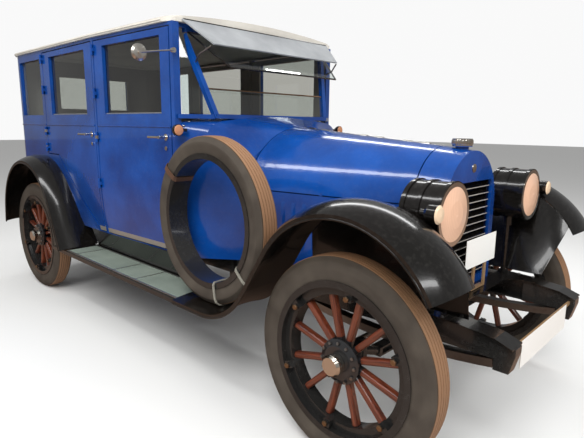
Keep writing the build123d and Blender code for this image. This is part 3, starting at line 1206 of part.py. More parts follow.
write("number_plates", [upper_plate, lower_plate])
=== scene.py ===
"""Closed touring car of the 1920s: finishes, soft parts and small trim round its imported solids."""
import bpy
import bmesh
import math
from mathutils import Matrix, Vector


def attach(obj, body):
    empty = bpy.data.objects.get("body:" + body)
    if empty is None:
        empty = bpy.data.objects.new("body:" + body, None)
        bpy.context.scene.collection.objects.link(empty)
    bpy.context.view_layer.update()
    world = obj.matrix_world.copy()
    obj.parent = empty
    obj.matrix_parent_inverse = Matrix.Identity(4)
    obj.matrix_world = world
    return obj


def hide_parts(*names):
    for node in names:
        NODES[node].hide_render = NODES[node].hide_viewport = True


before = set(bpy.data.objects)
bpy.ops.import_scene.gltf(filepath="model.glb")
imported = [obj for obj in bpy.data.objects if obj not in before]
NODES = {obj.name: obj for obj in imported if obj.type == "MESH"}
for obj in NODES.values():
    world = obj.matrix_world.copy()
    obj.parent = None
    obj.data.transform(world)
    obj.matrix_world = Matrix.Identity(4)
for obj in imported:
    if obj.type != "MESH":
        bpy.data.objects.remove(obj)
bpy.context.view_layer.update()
SIDES = (("right", -1), ("left", 1))

# Places and sizes shared with the solids
WHEEL_Y, WHEEL_R, TYRE_HALF = 0.7175, 0.432, 0.0625
AXLES = (("front", 1.594), ("rear", -1.594))
SPARE_CENTRE, SPARE_R = (0.765, -0.737, 0.8853), 0.416
BODY_HALF, BODY_REAR_X, BODY_CORNER_R = 0.7, -2.06, 0.17
JOG_X, JOG_SLOPE = -0.535, 0.0461

# Camera
EYE = Vector((2.7172, -2.2072, 1.3529))
YAW, PITCH, ROLL = 2.3349, -0.1871, 0.0114
LENS = 30.49


def place_camera():
    look = Vector((math.cos(PITCH) * math.cos(YAW), math.cos(PITCH) * math.sin(YAW), math.sin(PITCH)))
    right = look.cross(Vector((0, 0, 1))).normalized()
    up = right.cross(look)
    across = right * math.cos(ROLL) + up * math.sin(ROLL)
    upward = up * math.cos(ROLL) - right * math.sin(ROLL)
    data = bpy.data.cameras.new("viewpoint")
    data.lens, data.sensor_width, data.clip_start, data.clip_end = LENS, 36, 0.05, 200
    camera = bpy.data.objects.new("viewpoint", data)
    turn = Matrix((across, upward, -look)).transposed().to_4x4()
    camera.matrix_world = Matrix.Translation(EYE) @ turn
    bpy.context.scene.collection.objects.link(camera)
    bpy.context.scene.camera = camera


place_camera()
bpy.context.scene.view_settings.view_transform = "Standard"


# Shader expressions
class Wave:
    """A shader socket that can be used in sums and products."""

    def __init__(self, tree, socket):
        self.tree, self.socket = tree, socket

    def maths(self, operation, *values, clamp=False):
        node = self.tree.nodes.new("ShaderNodeMath")
        node.operation, node.use_clamp = operation, clamp
        for slot, value in zip(node.inputs, values):
            if isinstance(value, Wave):
                self.tree.links.new(value.socket, slot)
            else:
                slot.default_value = value
        return Wave(self.tree, node.outputs[0])

    def __add__(self, other):
        return self.maths("ADD", self, other)

    def __radd__(self, other):
        return self.maths("ADD", other, self)

    def __sub__(self, other):
        return self.maths("SUBTRACT", self, other)

    def __rsub__(self, other):
        return self.maths("SUBTRACT", other, self)

    def __mul__(self, other):
        return self.maths("MULTIPLY", self, other)

    def __rmul__(self, other):
        return self.maths("MULTIPLY", other, self)

    def __gt__(self, other):
        return self.maths("GREATER_THAN", self, other)

    def __lt__(self, other):
        return self.maths("LESS_THAN", self, other)

    def __abs__(self):
        return self.maths("ABSOLUTE", self)

    def sine(self):
        return self.maths("SINE", self)

    def root(self):
        return self.maths("SQRT", self)

    def power(self, exponent):
        return self.maths("POWER", self, exponent)

    def atan2(self, other):
        return self.maths("ARCTAN2", self, other)

    def most(self, other):
        return self.maths("MAXIMUM", self, other)

    def least(self, other):
        return self.maths("MINIMUM", self, other)

    def ramp(self, low, high):
        """0 below low, 1 above high, smooth between; the other way round where low is the larger."""
        return self.maths("MULTIPLY", (self - low), 1.0 / (high - low), clamp=True)


class Finish:
    """One procedural material built on a Principled shader."""

    def __init__(self, name, centre=(0, 0, 0)):
        self.material = bpy.data.materials.new(name)
        self.material.use_nodes = True
        self.tree = self.material.node_tree
        self.shader = self.tree.nodes["Principled BSDF"]
        self.output = self.tree.nodes["Material Output"]
        place = self.node("ShaderNodeTexCoord", out="Object")
        if any(centre):
            place = self.node("ShaderNodeVectorMath", {"operation": "SUBTRACT"}, {0: place, 1: centre})
        self.place = place
        split = self.tree.nodes.new("ShaderNodeSeparateXYZ")
        self.tree.links.new(self.place.socket, split.inputs[0])
        self.x, self.y, self.z = (Wave(self.tree, s) for s in split.outputs)

    def node(self, kind, settings=None, sockets=None, out=0):
        made = self.tree.nodes.new(kind)
        for key, value in (settings or {}).items():
            setattr(made, key, value)
        for key, value in (sockets or {}).items():
            slot = made.inputs[key]
            if isinstance(value, Wave):
                self.tree.links.new(value.socket, slot)
            else:
                slot.default_value = value
        return Wave(self.tree, made.outputs[out])

    def put(self, **sockets):
        for key, value in sockets.items():
            slot = self.shader.inputs[key.replace("_", " ")]
            if isinstance(value, Wave):
                self.tree.links.new(value.socket, slot)
            else:
                slot.default_value = value if not isinstance(value, tuple) or len(value) != 3 else (*value, 1)
        return self

    def noise(self, scale, detail=3.0, rough=0.55, at=None):
        return self.node("ShaderNodeTexNoise", None, {
            "Vector": at or self.place, "Scale": scale, "Detail": detail, "Roughness": rough})

    def cells(self, scale, at=None):
        return self.node("ShaderNodeTexVoronoi", None, {"Vector": at or self.place, "Scale": scale})

    def blend(self, share, first, second):
        def colour(c):
            return c if isinstance(c, Wave) else (*c, 1)
        made = self.tree.nodes.new("ShaderNodeMix")
        made.data_type = "RGBA"
        for key, value in ((0, share), (6, colour(first)), (7, colour(second))):
            if isinstance(value, Wave):
                self.tree.links.new(value.socket, made.inputs[key])
            else:
                made.inputs[key].default_value = value
        return Wave(self.tree, made.outputs[2])

    def relief(self, height, depth):
        bump = {"Height": height, "Distance": depth, "Strength": 1.0}
        self.put(Normal=self.node("ShaderNodeBump", None, bump))
        return self


def enamel(name, deep, bright, coat=1.0):
    """Coach enamel under varnish, a little uneven, with fine dust."""
    f = Finish(name)
    uneven = f.noise(3.0, 4).ramp(0.35, 0.7)
    dust = f.noise(60, 3).ramp(0.5, 0.8) * 0.04
    f.put(Base_Color=f.blend(dust, f.blend(uneven, deep, bright), (0.25, 0.24, 0.22)),
          Roughness=f.noise(5, 2) * 0.06 + 0.16, Coat_Roughness=0.04, Coat_Weight=coat,
          Specular_IOR_Level=0.4)
    return f.relief(f.noise(7, 2), 0.0004)


def picked_out(name, base, coat, rules):
    """Enamel with fittings picked out by where they lie; rules gives (mask, tint, is metal)."""
    f = enamel(name, *base, coat)
    colour = Wave(f.tree, f.shader.inputs["Base Color"].links[0].from_socket)
    shine = None
    for mask, tint, is_metal in rules(f):
        colour = f.blend(mask, colour, tint)
        if is_metal:
            shine = mask if shine is None else shine.most(mask)
    f.put(Base_Color=colour)
    return f.put(Metallic=shine) if shine else f


def cloth(name, base, shade, thread, depth=0.0004):
    """Plain-woven coated cloth."""
    f = Finish(name)
    weave = ((f.x * thread).sine() * (f.y * thread).sine() + (f.z * thread).sine() * 0.5) * 0.5 + 0.5
    worn = f.noise(5, 5).ramp(0.3, 0.75)
    f.put(Base_Color=f.blend(worn, shade, base), Roughness=0.82)
    return f.relief(weave + f.noise(240, 2) * 0.6, depth)


def metal(name, colour, rough, stain=(0.2, 0.17, 0.13)):
    f = Finish(name)
    spots = f.noise(34, 4).ramp(0.52, 0.78)
    f.put(Base_Color=f.blend(spots * 0.35, colour, stain), Metallic=1.0,
          Roughness=f.noise(22, 3) * 0.16 + rough)
    return f.relief(f.noise(120, 2), 0.00012)


def rubber(name, centre, outer):
    """Aged dark rubber, browner on the tread's ribs."""
    f = Finish(name, centre)
    radius = (f.x * f.x + f.z * f.z).root()
    dust = f.noise(10, 5).ramp(0.3, 0.8)
    tread = radius.ramp(outer - 0.0055, outer - 0.003)
    side = f.blend(dust, (0.038, 0.03, 0.023), (0.074, 0.06, 0.046))
    f.put(Base_Color=f.blend(tread * 0.8, side, (0.27, 0.14, 0.07)), Roughness=f.noise(40, 3) * 0.2 + 0.62)
    return f.relief(f.noise(300, 3) + (radius * 900).sine() * 0.12, 0.0004)


FLANGE_R, DRUM_R, DRUM_OUT = 0.0945, 0.17, -0.03
CAP_R, CAP_OUT = 0.0455, 0.0535


def wheel_finish(name, centre, out, drum):
    """Varnished red-brown spokes with their grain, black hub flange, nickel cap."""
    f = Finish(name, centre)
    radius = (f.x * f.x + f.z * f.z).root()
    turn = f.z.atan2(f.x)
    outward = f.y * out
    along = f.node("ShaderNodeCombineXYZ", None, {0: radius * 2.2, 1: turn * 22, 2: f.y * 40})
    grain = f.noise(3.2, 5, 0.6, at=along)
    wood = f.blend(grain.ramp(0.35, 0.68), (0.038, 0.008, 0.005), (0.18, 0.042, 0.018))
    hub = radius < FLANGE_R
    if drum:
        hub = hub.most((outward < DRUM_OUT) * (radius < DRUM_R))
    body = f.blend(hub, wood, (0.012, 0.012, 0.013))
    cap = (outward > CAP_OUT) * (radius < CAP_R)
    f.put(Base_Color=f.blend(cap, body, (0.72, 0.68, 0.6)), Metallic=cap, Roughness=0.28 - cap * 0.08,
          Coat_Weight=0.7, Coat_Roughness=0.1)
    return f.relief(grain * (1 - hub), 0.0007)


def panes(name, tint, least=0.05):
    """Window glass: tinted see-through, with a gloss on its outer faces only."""
    f = Finish(name)
    back = Wave(f.tree, f.tree.nodes.new("ShaderNodeNewGeometry").outputs["Backfacing"])
    glare = (f.node("ShaderNodeFresnel", None, {"IOR": 1.5}) + least) * (1 - back)
    clear = f.node("ShaderNodeBsdfTransparent", None, {"Color": (*tint, 1)})
    gloss = f.node("ShaderNodeBsdfGlossy", None, {"Color": (1, 1, 1, 1), "Roughness": 0.02})
    both = f.node("ShaderNodeMixShader", None, {0: glare.least(1.0), 1: clear, 2: gloss})
    f.tree.links.new(both.socket, f.output.inputs["Surface"])
    return f


COACH_BLUE = ((0.002, 0.03, 0.165), (0.003, 0.06, 0.29))
JET = ((0.0035, 0.003, 0.0025), (0.005, 0.004, 0.0035))
BRIGHT = (0.75, 0.72, 0.66)
TRIM_GREY = (0.2, 0.18, 0.16)


def within(value, low, high):
    return (value > low) * (value < high)


def turned_in(f):
    """How far the side wall has turned in at x, ahead of the front door's hinge."""
    return (f.x - JOG_X).most(0.0) * JOG_SLOPE


def off_wall(f):
    """How far a point lies outside the body's side wall."""
    return abs(f.y) - BODY_HALF + turned_in(f)


LINING_DEPTH, LINING_LOW_Z, LINING_FRONT_X = 0.028, 0.98, 0.325
DOOR_LINING, LEVER_OUT, LEVER_Z = -0.03, 0.0045, (1.17, 1.31)


def door_rules(f):
    lever = (off_wall(f) > LEVER_OUT) * within(f.z, *LEVER_Z)
    return [(off_wall(f) < DOOR_LINING, TRIM_GREY, False), (lever, BRIGHT, True)]


def shell_rules(f):
    to_rear = (f.x * -1 + (BODY_REAR_X + BODY_CORNER_R)).most(0.0)
    to_side = (abs(f.y) - (BODY_HALF - BODY_CORNER_R)).most(0.0)
    lining = (to_rear * to_rear + to_side * to_side).root() + turned_in(f) < BODY_CORNER_R - LINING_DEPTH
    return [(lining * (f.z > LINING_LOW_Z) * (f.x < LINING_FRONT_X), TRIM_GREY, False)]


def cowl_rules(f):
    # The ventilator's gap is painted near black: painted shade where the gap under its lid would lie dark,
    # with no opening in the cowl.
    slot = within(f.x, 0.372, 0.402) * (abs(f.y) < 0.4) * (f.z > 1.3)
    return [(slot, (0.002, 0.002, 0.002), False), (f.x > 0.6605, BRIGHT, True)]


def lid_rules(f):
    return [(abs(f.y) < 0.0105, BRIGHT, True)]


def radiator_rules(f):
    return [(f.z > 1.269, BRIGHT, True)]


def shutter_highlight_rules(f):
    # The slats' front edges are painted pale grey: a painted highlight where light catches them.
    return [(f.x > 1.7372, (0.42, 0.38, 0.34), False)]


def headlamp_rules(f):
    return [(within(f.x, 1.8705, 1.9) * (f.z > 0.85), BRIGHT, True)]


def lamp_glass_rules(f):
    front, cowl = f.x > 1.8955, within(f.x, 0.4185, 0.6)
    return [(front, (0.7, 0.52, 0.36), False), (cowl, (0.45, 0.2, 0.1), False)]


def plate_rules(f):
    upper, lower = within(f.x, 1.8012, 1.9) * (f.z > 0.7), f.x > 2.1203
    return [(upper.most(lower), (0.8, 0.79, 0.76), False)]


BLUE = enamel("coach_blue", *COACH_BLUE, 0.7)
BLACK = enamel("fender_black", *JET, 0.35)
DOOR = picked_out("door_blue", COACH_BLUE, 0.7, door_rules)
BODY = picked_out("body_blue", COACH_BLUE, 0.7, shell_rules)
COWL = picked_out("cowl_blue", COACH_BLUE, 0.7, cowl_rules)
LID = picked_out("bonnet_blue", COACH_BLUE, 0.7, lid_rules)
RADIATOR = picked_out("radiator_blue", COACH_BLUE, 0.7, radiator_rules)
SHUTTER = picked_out("shutter_black", JET, 0.3, shutter_highlight_rules)
HEADLAMP = picked_out("headlamp_black", JET, 0.5, headlamp_rules)
LAMP_GLASS = picked_out("side_lamp_black", JET, 0.5, lamp_glass_rules)
PLATE = picked_out("plate_white", ((0.2, 0.12, 0.06), (0.3, 0.19, 0.1)), 0.0, plate_rules)
WALNUT = enamel("walnut", (0.03, 0.012, 0.006), (0.075, 0.03, 0.014), 0.5)
FRAME_BLACK = enamel("frame_black", (0.01, 0.01, 0.01), (0.018, 0.017, 0.016), 0.3)
ROOF = cloth("roof_cloth", (0.62, 0.59, 0.53), (0.5, 0.47, 0.42), 1500)
VISOR = cloth("visor_cloth", (0.3, 0.31, 0.32), (0.2, 0.21, 0.22), 1900)
NICKEL = metal("nickel", (0.78, 0.74, 0.67), 0.14)
STEEL = metal("bare_steel", (0.3, 0.29, 0.28), 0.38, (0.16, 0.09, 0.05))
IRON = metal("cast_iron", (0.09, 0.088, 0.085), 0.5, (0.13, 0.07, 0.04))
PANE = panes("window_glass", (0.9, 0.93, 0.92))
DOOR_PANE = panes("door_glass", (0.66, 0.66, 0.63))
LUG_BRASS = metal("worn_brass", (0.33, 0.22, 0.13), 0.36, (0.1, 0.06, 0.03))
LENS = Finish("frosted_lens")
# Frosted headlamp glass; its warm orange base colour is in part a painted reflection of warm surroundings.
LENS.put(Base_Color=(0.72, 0.44, 0.3), Roughness=0.24, Coat_Weight=0.6, Coat_Roughness=0.05)
LENS.relief((LENS.y * 520).sine(), 0.0003)
HIDE = Finish("seat_hide")
HIDE_TINT = HIDE.blend(HIDE.noise(14, 4), (0.014, 0.011, 0.009), (0.032, 0.025, 0.019))
HIDE.put(Base_Color=HIDE_TINT, Roughness=0.46)
HIDE.relief((HIDE.y * 57).sine().power(2.0) * 8 + HIDE.cells(160), 0.0006)
LINO = cloth("board_lino", (0.2, 0.235, 0.2), (0.14, 0.17, 0.145), 900, 0.0002)
TREAD_STRIP = metal("tread_strip", (0.82, 0.82, 0.79), 0.3)
BRONZE = metal("frame_bronze", (0.36, 0.2, 0.1), 0.32)
STRAP = cloth("strap_leather", (0.12, 0.055, 0.03), (0.05, 0.025, 0.015), 2200, 0.0002)
ROPE = cloth("tie_cord", (0.33, 0.31, 0.26), (0.2, 0.19, 0.16), 3200, 0.0006)
TYRE_FINISH = {}

for end, x in AXLES:
    for side, s in SIDES:
        centre = (x, s * WHEEL_Y, WHEEL_R)
        spokes = wheel_finish(f"wheel_{end}_{side}_finish", centre, s, end == "rear")
        NODES[f"wheel_{end}_{side}"].data.materials[0] = spokes.material
        NODES[f"rim_{end}_{side}"].data.materials[0] = FRAME_BLACK.material
        TYRE_FINISH[f"tyre_{end}_{side}"] = rubber(f"tyre_{end}_{side}_finish", centre, WHEEL_R)
        NODES[f"door_{end}_{side}"].data.materials[0] = DOOR.material
        NODES[f"door_glass_{end}_{side}"].data.materials[0] = DOOR_PANE.material
TYRE_FINISH["spare_tyre"] = rubber("spare_tyre_finish", SPARE_CENTRE, SPARE_R)
NODES["spare_rim"].data.materials[0] = FRAME_BLACK.material

DRESS = {
    BLUE: ("bonnet_side_right", "bonnet_side_left", "windscreen_frame"),
    BODY: ("body_shell",), COWL: ("cowl",), LID: ("bonnet_top_right", "bonnet_top_left"),
    RADIATOR: ("radiator_shell",), SHUTTER: ("radiator_shutters",), HEADLAMP: ("headlamps",),
    LAMP_GLASS: ("side_lamps",), PLATE: ("number_plates",), LENS: ("headlamp_lenses",),
    BLACK: ("front_fenders", "rear_fenders", "side_aprons", "front_apron", "fuel_tank", "steering_column"),
    FRAME_BLACK: ("chassis_frame", "rear_axle", "front_axle", "running_boards"),
    ROOF: ("roof",), VISOR: ("sun_visor",), NICKEL: ("mirror",),
    WALNUT: ("seat_base_front", "seat_base_rear", "steering_wheel"),
    STEEL: ("leaf_springs", "exhaust", "track_rod"), IRON: ("engine", "knuckle_right", "knuckle_left"),
    PANE: ("fixed_glass",), HIDE: ("seat_front", "seat_rear"),
}
for finish, names in DRESS.items():
    for node in names:
        NODES[node].data.materials[0] = finish.material


# Makers of pieces
def piece(name, mesh, finish, body):
    """One finished piece at the origin, riding on its body."""
    obj = bpy.data.objects.new(name, mesh)
    bpy.context.scene.collection.objects.link(obj)
    mesh.materials.clear()
    mesh.materials.append(finish.material)
    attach(obj, body)
    return obj


def shell(name, verts, faces, smooth=True):
    mesh = bpy.data.meshes.new(name)
    mesh.from_pydata([tuple(v) for v in verts], [], faces)
    if smooth:
        for face in mesh.polygons:
            face.use_smooth = True
    return mesh


def turned(name, outline, steps, centre=(0, 0, 0), axis="Y", sharp=35):
    """A closed outline of (radius, along) pairs turned round an axis."""
    verts, faces, n = [], [], len(outline)
    for i in range(steps):
        a = 2 * math.pi * i / steps
        for r, t in outline:
            if axis == "Y":
                spot = Vector((r * math.cos(a), t, r * math.sin(a)))
            else:
                spot = Vector((t, r * math.cos(a), r * math.sin(a)))
            verts.append(spot + Vector(centre))
    for i in range(steps):
        for j in range(n):
            k, m = (i + 1) % steps, (j + 1) % n
            faces.append((i * n + j, i * n + m, k * n + m, k * n + j))
    mesh = shell(name, verts, faces)
    tidy(mesh)
    mesh.set_sharp_from_angle(angle=math.radians(sharp))
    return mesh


def tidy(mesh):
    """Doubles merged, faces turned outwards."""
    edit = bmesh.new()
    edit.from_mesh(mesh)
    bmesh.ops.remove_doubles(edit, verts=edit.verts, dist=1e-6)
    bmesh.ops.recalc_face_normals(edit, faces=edit.faces)
    edit.to_mesh(mesh)
    edit.free()


def piped(name, points, radius, finish, body, closed=False):
    """A round bead or rod along points."""
    curve = bpy.data.curves.new(name, "CURVE")
    curve.dimensions, curve.resolution_u = "3D", 3
    curve.bevel_depth, curve.bevel_resolution, curve.use_fill_caps = radius, 2, True
    line = curve.splines.new("POLY")
    line.points.add(len(points) - 1)
    for spot, p in zip(line.points, points):
        spot.co = (*p, 1)
    line.use_cyclic_u = closed
    maker = bpy.data.objects.new(name + "_line", curve)
    bpy.context.scene.collection.objects.link(maker)
    bpy.context.view_layer.update()
    mesh = bpy.data.meshes.new_from_object(maker.evaluated_get(bpy.context.evaluated_depsgraph_get()))
    bpy.data.objects.remove(maker)
    mesh.name = name
    for face in mesh.polygons:
        face.use_smooth = True
    return piece(name, mesh, finish, body)


def repeat_tree(name):
    """Sets one item on each point, turned by the point's own turn, as real geometry."""
    tree = bpy.data.node_groups.new(name, "GeometryNodeTree")
    for label, way, kind in (("Places", "INPUT", "NodeSocketGeometry"), ("Item", "INPUT", "NodeSocketObject"),
                             ("Finish", "INPUT", "NodeSocketMaterial"),
                             ("Row", "OUTPUT", "NodeSocketGeometry")):
        tree.interface.new_socket(label, in_out=way, socket_type=kind)
    new = tree.nodes.new
    start, end = new("NodeGroupInput"), new("NodeGroupOutput")
    spots, setter = new("GeometryNodeMeshToPoints"), new("GeometryNodeInstanceOnPoints")
    item, turn = new("GeometryNodeObjectInfo"), new("GeometryNodeInputNamedAttribute")
    spin = new("FunctionNodeEulerToRotation")
    real, coat = new("GeometryNodeRealizeInstances"), new("GeometryNodeSetMaterial")
    turn.data_type = "FLOAT_VECTOR"
    turn.inputs["Name"].default_value = "turn"
    link = tree.links.new
    link(start.outputs["Places"], spots.inputs[0])
    link(spots.outputs[0], setter.inputs["Points"])
    link(start.outputs["Item"], item.inputs["Object"])
    link(item.outputs["Geometry"], setter.inputs["Instance"])
    link(turn.outputs[0], spin.inputs[0])
    link(spin.outputs[0], setter.inputs["Rotation"])
    link(setter.outputs[0], real.inputs[0])
    link(real.outputs[0], coat.inputs[0])
    link(start.outputs["Finish"], coat.inputs["Material"])
    link(coat.outputs[0], end.inputs[0])
    return tree


ROW_TREE = repeat_tree("row_of_items")


def row(name, item, spots, finish, body):
    """item repeated at spots of (place, outward, along), by Geometry Nodes, as one plain mesh."""
    places = bpy.data.meshes.new(name + "_places")
    places.from_pydata([tuple(p) for p, _, _ in spots], [], [])
    turn = places.attributes.new("turn", "FLOAT_VECTOR", "POINT")
    for i, (_, outward, along) in enumerate(spots):
        up = Vector(outward).normalized()
        ahead = Vector(along)
        ahead = (ahead - up * ahead.dot(up)).normalized()
        turn.data[i].vector = Matrix((ahead, up.cross(ahead), up)).transposed().to_euler()
    holder = bpy.data.objects.new(name + "_places", places)
    thing = bpy.data.objects.new(name + "_item", item)
    for obj in (holder, thing):
        bpy.context.scene.collection.objects.link(obj)
    modifier = holder.modifiers.new("row", "NODES")
    modifier.node_group = ROW_TREE
    known = {s.name: s.identifier for s in ROW_TREE.interface.items_tree if s.in_out == "INPUT"}
    modifier[known["Item"]] = thing
    modifier[known["Finish"]] = finish.material
    bpy.context.view_layer.update()
    mesh = bpy.data.meshes.new_from_object(holder.evaluated_get(bpy.context.evaluated_depsgraph_get()))
    for obj in (holder, thing):
        bpy.data.objects.remove(obj)
    mesh.name = name
    return piece(name, mesh, finish, body)


def dome(radius, height, sides=12):
    """Low round head, its flat side at the origin."""
    outline = [(radius, 0), (radius * 0.94, height * 0.45), (radius * 0.62, height * 0.88)]
    verts = [(r * math.cos(2 * math.pi * i / sides), r * math.sin(2 * math.pi * i / sides), z)
             for r, z in outline for i in range(sides)] + [(0, 0, height)]
    faces = [(k * sides + i, k * sides + (i + 1) % sides, (k + 1) * sides + (i + 1) % sides,
              (k + 1) * sides + i) for k in range(2) for i in range(sides)]
    faces += [(2 * sides + i, 2 * sides + (i + 1) % sides, 3 * sides) for i in range(sides)]
    faces += [tuple(reversed(range(sides)))]
    return shell("head", verts, faces)


def nut(radius, height):
    """Hexagon nut with a chamfered top."""
    rings = [(radius, 0), (radius, height * 0.75), (radius * 0.82, height)]
    verts = [(r * math.cos(math.pi * i / 3), r * math.sin(math.pi * i / 3), z)
             for r, z in rings for i in range(6)]
    faces = [(k * 6 + i, k * 6 + (i + 1) % 6, k * 6 + 6 + (i + 1) % 6, k * 6 + 6 + i)
             for k in range(2) for i in range(6)]
    return shell("nut", verts, faces + [tuple(range(12, 18)), tuple(reversed(range(6)))], smooth=False)


# Tyres
TREAD_RIBS = 5


def tyre_outline(outer, half):
    """Tyre section with its grooved tread, beads and rubbing rib, as (radius, across) pairs."""
    tread, groove, cut = half * 0.66, 0.0022, 0.005
    points = [(0.3178, -0.0517), (0.3178, 0.0517), (0.336, 0.0517), (0.345, 0.056), (0.372, half * 0.985),
              (0.378, half), (0.384, half), (0.388, half * 0.985), (outer - half * 0.42, half * 0.96),
              (outer - half * 0.3, half * 0.9), (outer - 0.012, half * 0.79),
              (outer - 0.0045, tread + 0.0035)]
    step = 2 * tread / TREAD_RIBS
    for i in range(TREAD_RIBS):
        a, b = tread - i * step - groove, tread - (i + 1) * step + groove
        rise = [outer - 0.002 * (t / tread) ** 2 for t in (a, b)]
        points += [(rise[0] - cut, a + 0.001), (rise[0], a), (rise[1], b), (rise[1] - cut, b - 0.001)]
    mirror = [(r, -t) for r, t in reversed(points[2:12])]
    return points + mirror


def tyre_piece(node, outer, centre, body):
    mesh = turned(node + "_ribbed", tyre_outline(outer, TYRE_HALF), 112, centre, "Y", 28)
    made = piece(node + "_ribbed", mesh, TYRE_FINISH[node], body)
    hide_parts(node)


for end, x in AXLES:
    for side, s in SIDES:
        tyre_piece(f"tyre_{end}_{side}", WHEEL_R, (x, s * WHEEL_Y, WHEEL_R), f"road_wheel_{end}_{side}")
tyre_piece("spare_tyre", SPARE_R, SPARE_CENTRE, "car")

# Wheels: hub bolts and rim lugs
FLANGE_BOLTS, BOLT_CIRCLE_R, BOLT_OUT = 12, 0.0795, 0.0455
LUGS, LUG_CIRCLE_R, LUG_OUT, LUG_TURN = 6, 0.281, 0.063, 39
for end, x in AXLES:
    for side, s in SIDES:
        hub = Vector((x, s * WHEEL_Y, WHEEL_R))
        out = Vector((0, s, 0))
        bolts, lugs = [], []
        for i in range(FLANGE_BOLTS):
            a = 2 * math.pi * i / FLANGE_BOLTS
            ray = Vector((math.cos(a), 0, math.sin(a)))
            bolts.append((hub + ray * BOLT_CIRCLE_R + out * BOLT_OUT, ray * 0.35 + out, ray))
        for i in range(LUGS):
            a = -math.radians(LUG_TURN + 360 / LUGS * i)
            ray = Vector((math.cos(a), 0, math.sin(a)))
            lugs.append((hub + ray * LUG_CIRCLE_R + out * LUG_OUT, out, ray))
        body = f"road_wheel_{end}_{side}"
        row(f"hub_bolts_{end}_{side}", nut(0.0075, 0.009), bolts, STEEL, body)
        row(f"lug_nuts_{end}_{side}", nut(0.0125, 0.008), lugs, LUG_BRASS, body)


# Fittings of the bonnet, cowl and radiator
def louvre(half_length, half_width, rise, steps=6):
    """Pressed louvre, long along X, open towards +Y."""
    rings = []
    for i in range(steps + 1):
        t = -1 + 2 * i / steps
        lift = rise * max(1 - abs(t) ** 3, 0.03)
        x = t * half_length
        rings.append([(x, -half_width, 0), (x, half_width, 0), (x, half_width, lift),
                      (x, half_width * 0.1, lift * 0.8)])
    verts = [v for ring in rings for v in ring]
    faces = [(k * 4 + j, k * 4 + (j + 1) % 4, k * 4 + 4 + (j + 1) % 4, k * 4 + 4 + j)
             for k in range(steps) for j in range(4)]
    faces += [(3, 2, 1, 0), tuple(steps * 4 + j for j in range(4))]
    mesh = shell("louvre", verts, faces, smooth=False)
    tidy(mesh)
    return mesh


LOUVRES, LOUVRE_START, LOUVRE_PITCH = 11, 0.781, 0.064
LOUVRE_MID_Z, LOUVRE_HALF = 0.835, 0.125
BONNET_REAR_X, BONNET_HALF, BONNET_TAPER = 0.66, 0.43, 0.16 / 0.94
for side, s in SIDES:
    spots = []
    for i in range(LOUVRES):
        x = LOUVRE_START + i * LOUVRE_PITCH
        y = BONNET_HALF - (x - BONNET_REAR_X) * BONNET_TAPER
        spots.append((Vector((x, s * y, LOUVRE_MID_Z)), Vector((0.1678, s * 0.9858, 0)), Vector((0, 0, 1))))
    row(f"louvres_{side}", louvre(LOUVRE_HALF, 0.012, 0.009), spots, BLUE, f"bonnet_flank_{side}")

STUDS = ((0.64, 1.305), (0.62, 1.342), (0.585, 1.366), (0.52, 1.381), (0.44, 1.391), (0.36, 1.399))
cowl_studs = []
for side, s in SIDES:
    for y, z in STUDS:
        cowl_studs.append((Vector((0.362, s * y, z)), Vector((0.25, s * 0.4, 1)), Vector((1, 0, 0))))
row("cowl_studs", dome(0.008, 0.008, 10), cowl_studs, NICKEL, "car")

CAP_FLUTES, CAP_CENTRE, CAP_SIDE_R = 24, Vector((1.685, 0, 1.286)), 0.0445
flutes = []
for i in range(CAP_FLUTES):
    a = 2 * math.pi * i / CAP_FLUTES
    ray = Vector((math.cos(a), math.sin(a), 0))
    flutes.append((CAP_CENTRE + ray * CAP_SIDE_R, ray, Vector((0, 0, 1))))
row("cap_flutes", louvre(0.014, 0.0035, 0.004, 4), flutes, NICKEL, "car")
BADGE_OUTLINE = [(0.0, 0), (0.02, 0), (0.019, 0.003), (0.0, 0.004)]
badge = turned("radiator_badge", BADGE_OUTLINE, 32, (1.7501, 0, 1.17), "X")
piece("radiator_badge", badge, NICKEL, "car")


# Beads along the fenders, the belt and the roof
def follow(start, heading, steps, drop):
    """(x, z) points along runs (length,) and arcs (radius, turn), dropped square to the path."""
    x, z = start
    spots = []

    def mark():
        a = math.radians(heading)
        spots.append((x + drop * math.sin(a), z - drop * math.cos(a)))
    mark()
    for step in steps:
        a = math.radians(heading)
        if len(step) == 1:
            x, z = x + step[0] * math.cos(a), z + step[0] * math.sin(a)
            mark()
            continue
        radius, turn = step
        bends = max(4, int(abs(turn) / 5))
        side = 1 if turn > 0 else -1
        cx, cz = x - side * radius * math.sin(a), z + side * radius * math.cos(a)
        for _ in range(bends):
            heading += turn / bends
            x = cx + side * radius * math.sin(math.radians(heading))
            z = cz - side * radius * math.cos(math.radians(heading))
            mark()
    return spots


LIP_Y, LIP_DROP = 0.869, 0.0175
FRONT_LIP = follow((0.5783, 0.455), 0, [(0.2375,), (0.36235, 57), (0.2624,), (0.45, -118.5)], LIP_DROP)
REAR_LIP = follow((-2.05, 0.5), 80, [(0.12,), (0.53, -145), (0.3385,)], LIP_DROP)
for side, s in SIDES:
    for end, path in (("front", FRONT_LIP), ("rear", REAR_LIP)):
        lip = [(x, s * LIP_Y, z) for x, z in path]
        piped(f"fender_bead_{end}_{side}", lip, 0.0045, BLACK, "car")


def round_the_back(front_x, half, corner, rear_x, z):
    """Points from the right side round the rear of the body to the left side."""
    spots = [(front_x, -half, z)]
    for k in range(9):
        a = math.radians(90 * k / 8)
        spots.append((rear_x + corner - corner * math.sin(a), -half + corner - corner * math.cos(a), z))
    return spots + [(x, -y, z) for x, y, z in reversed(spots)]


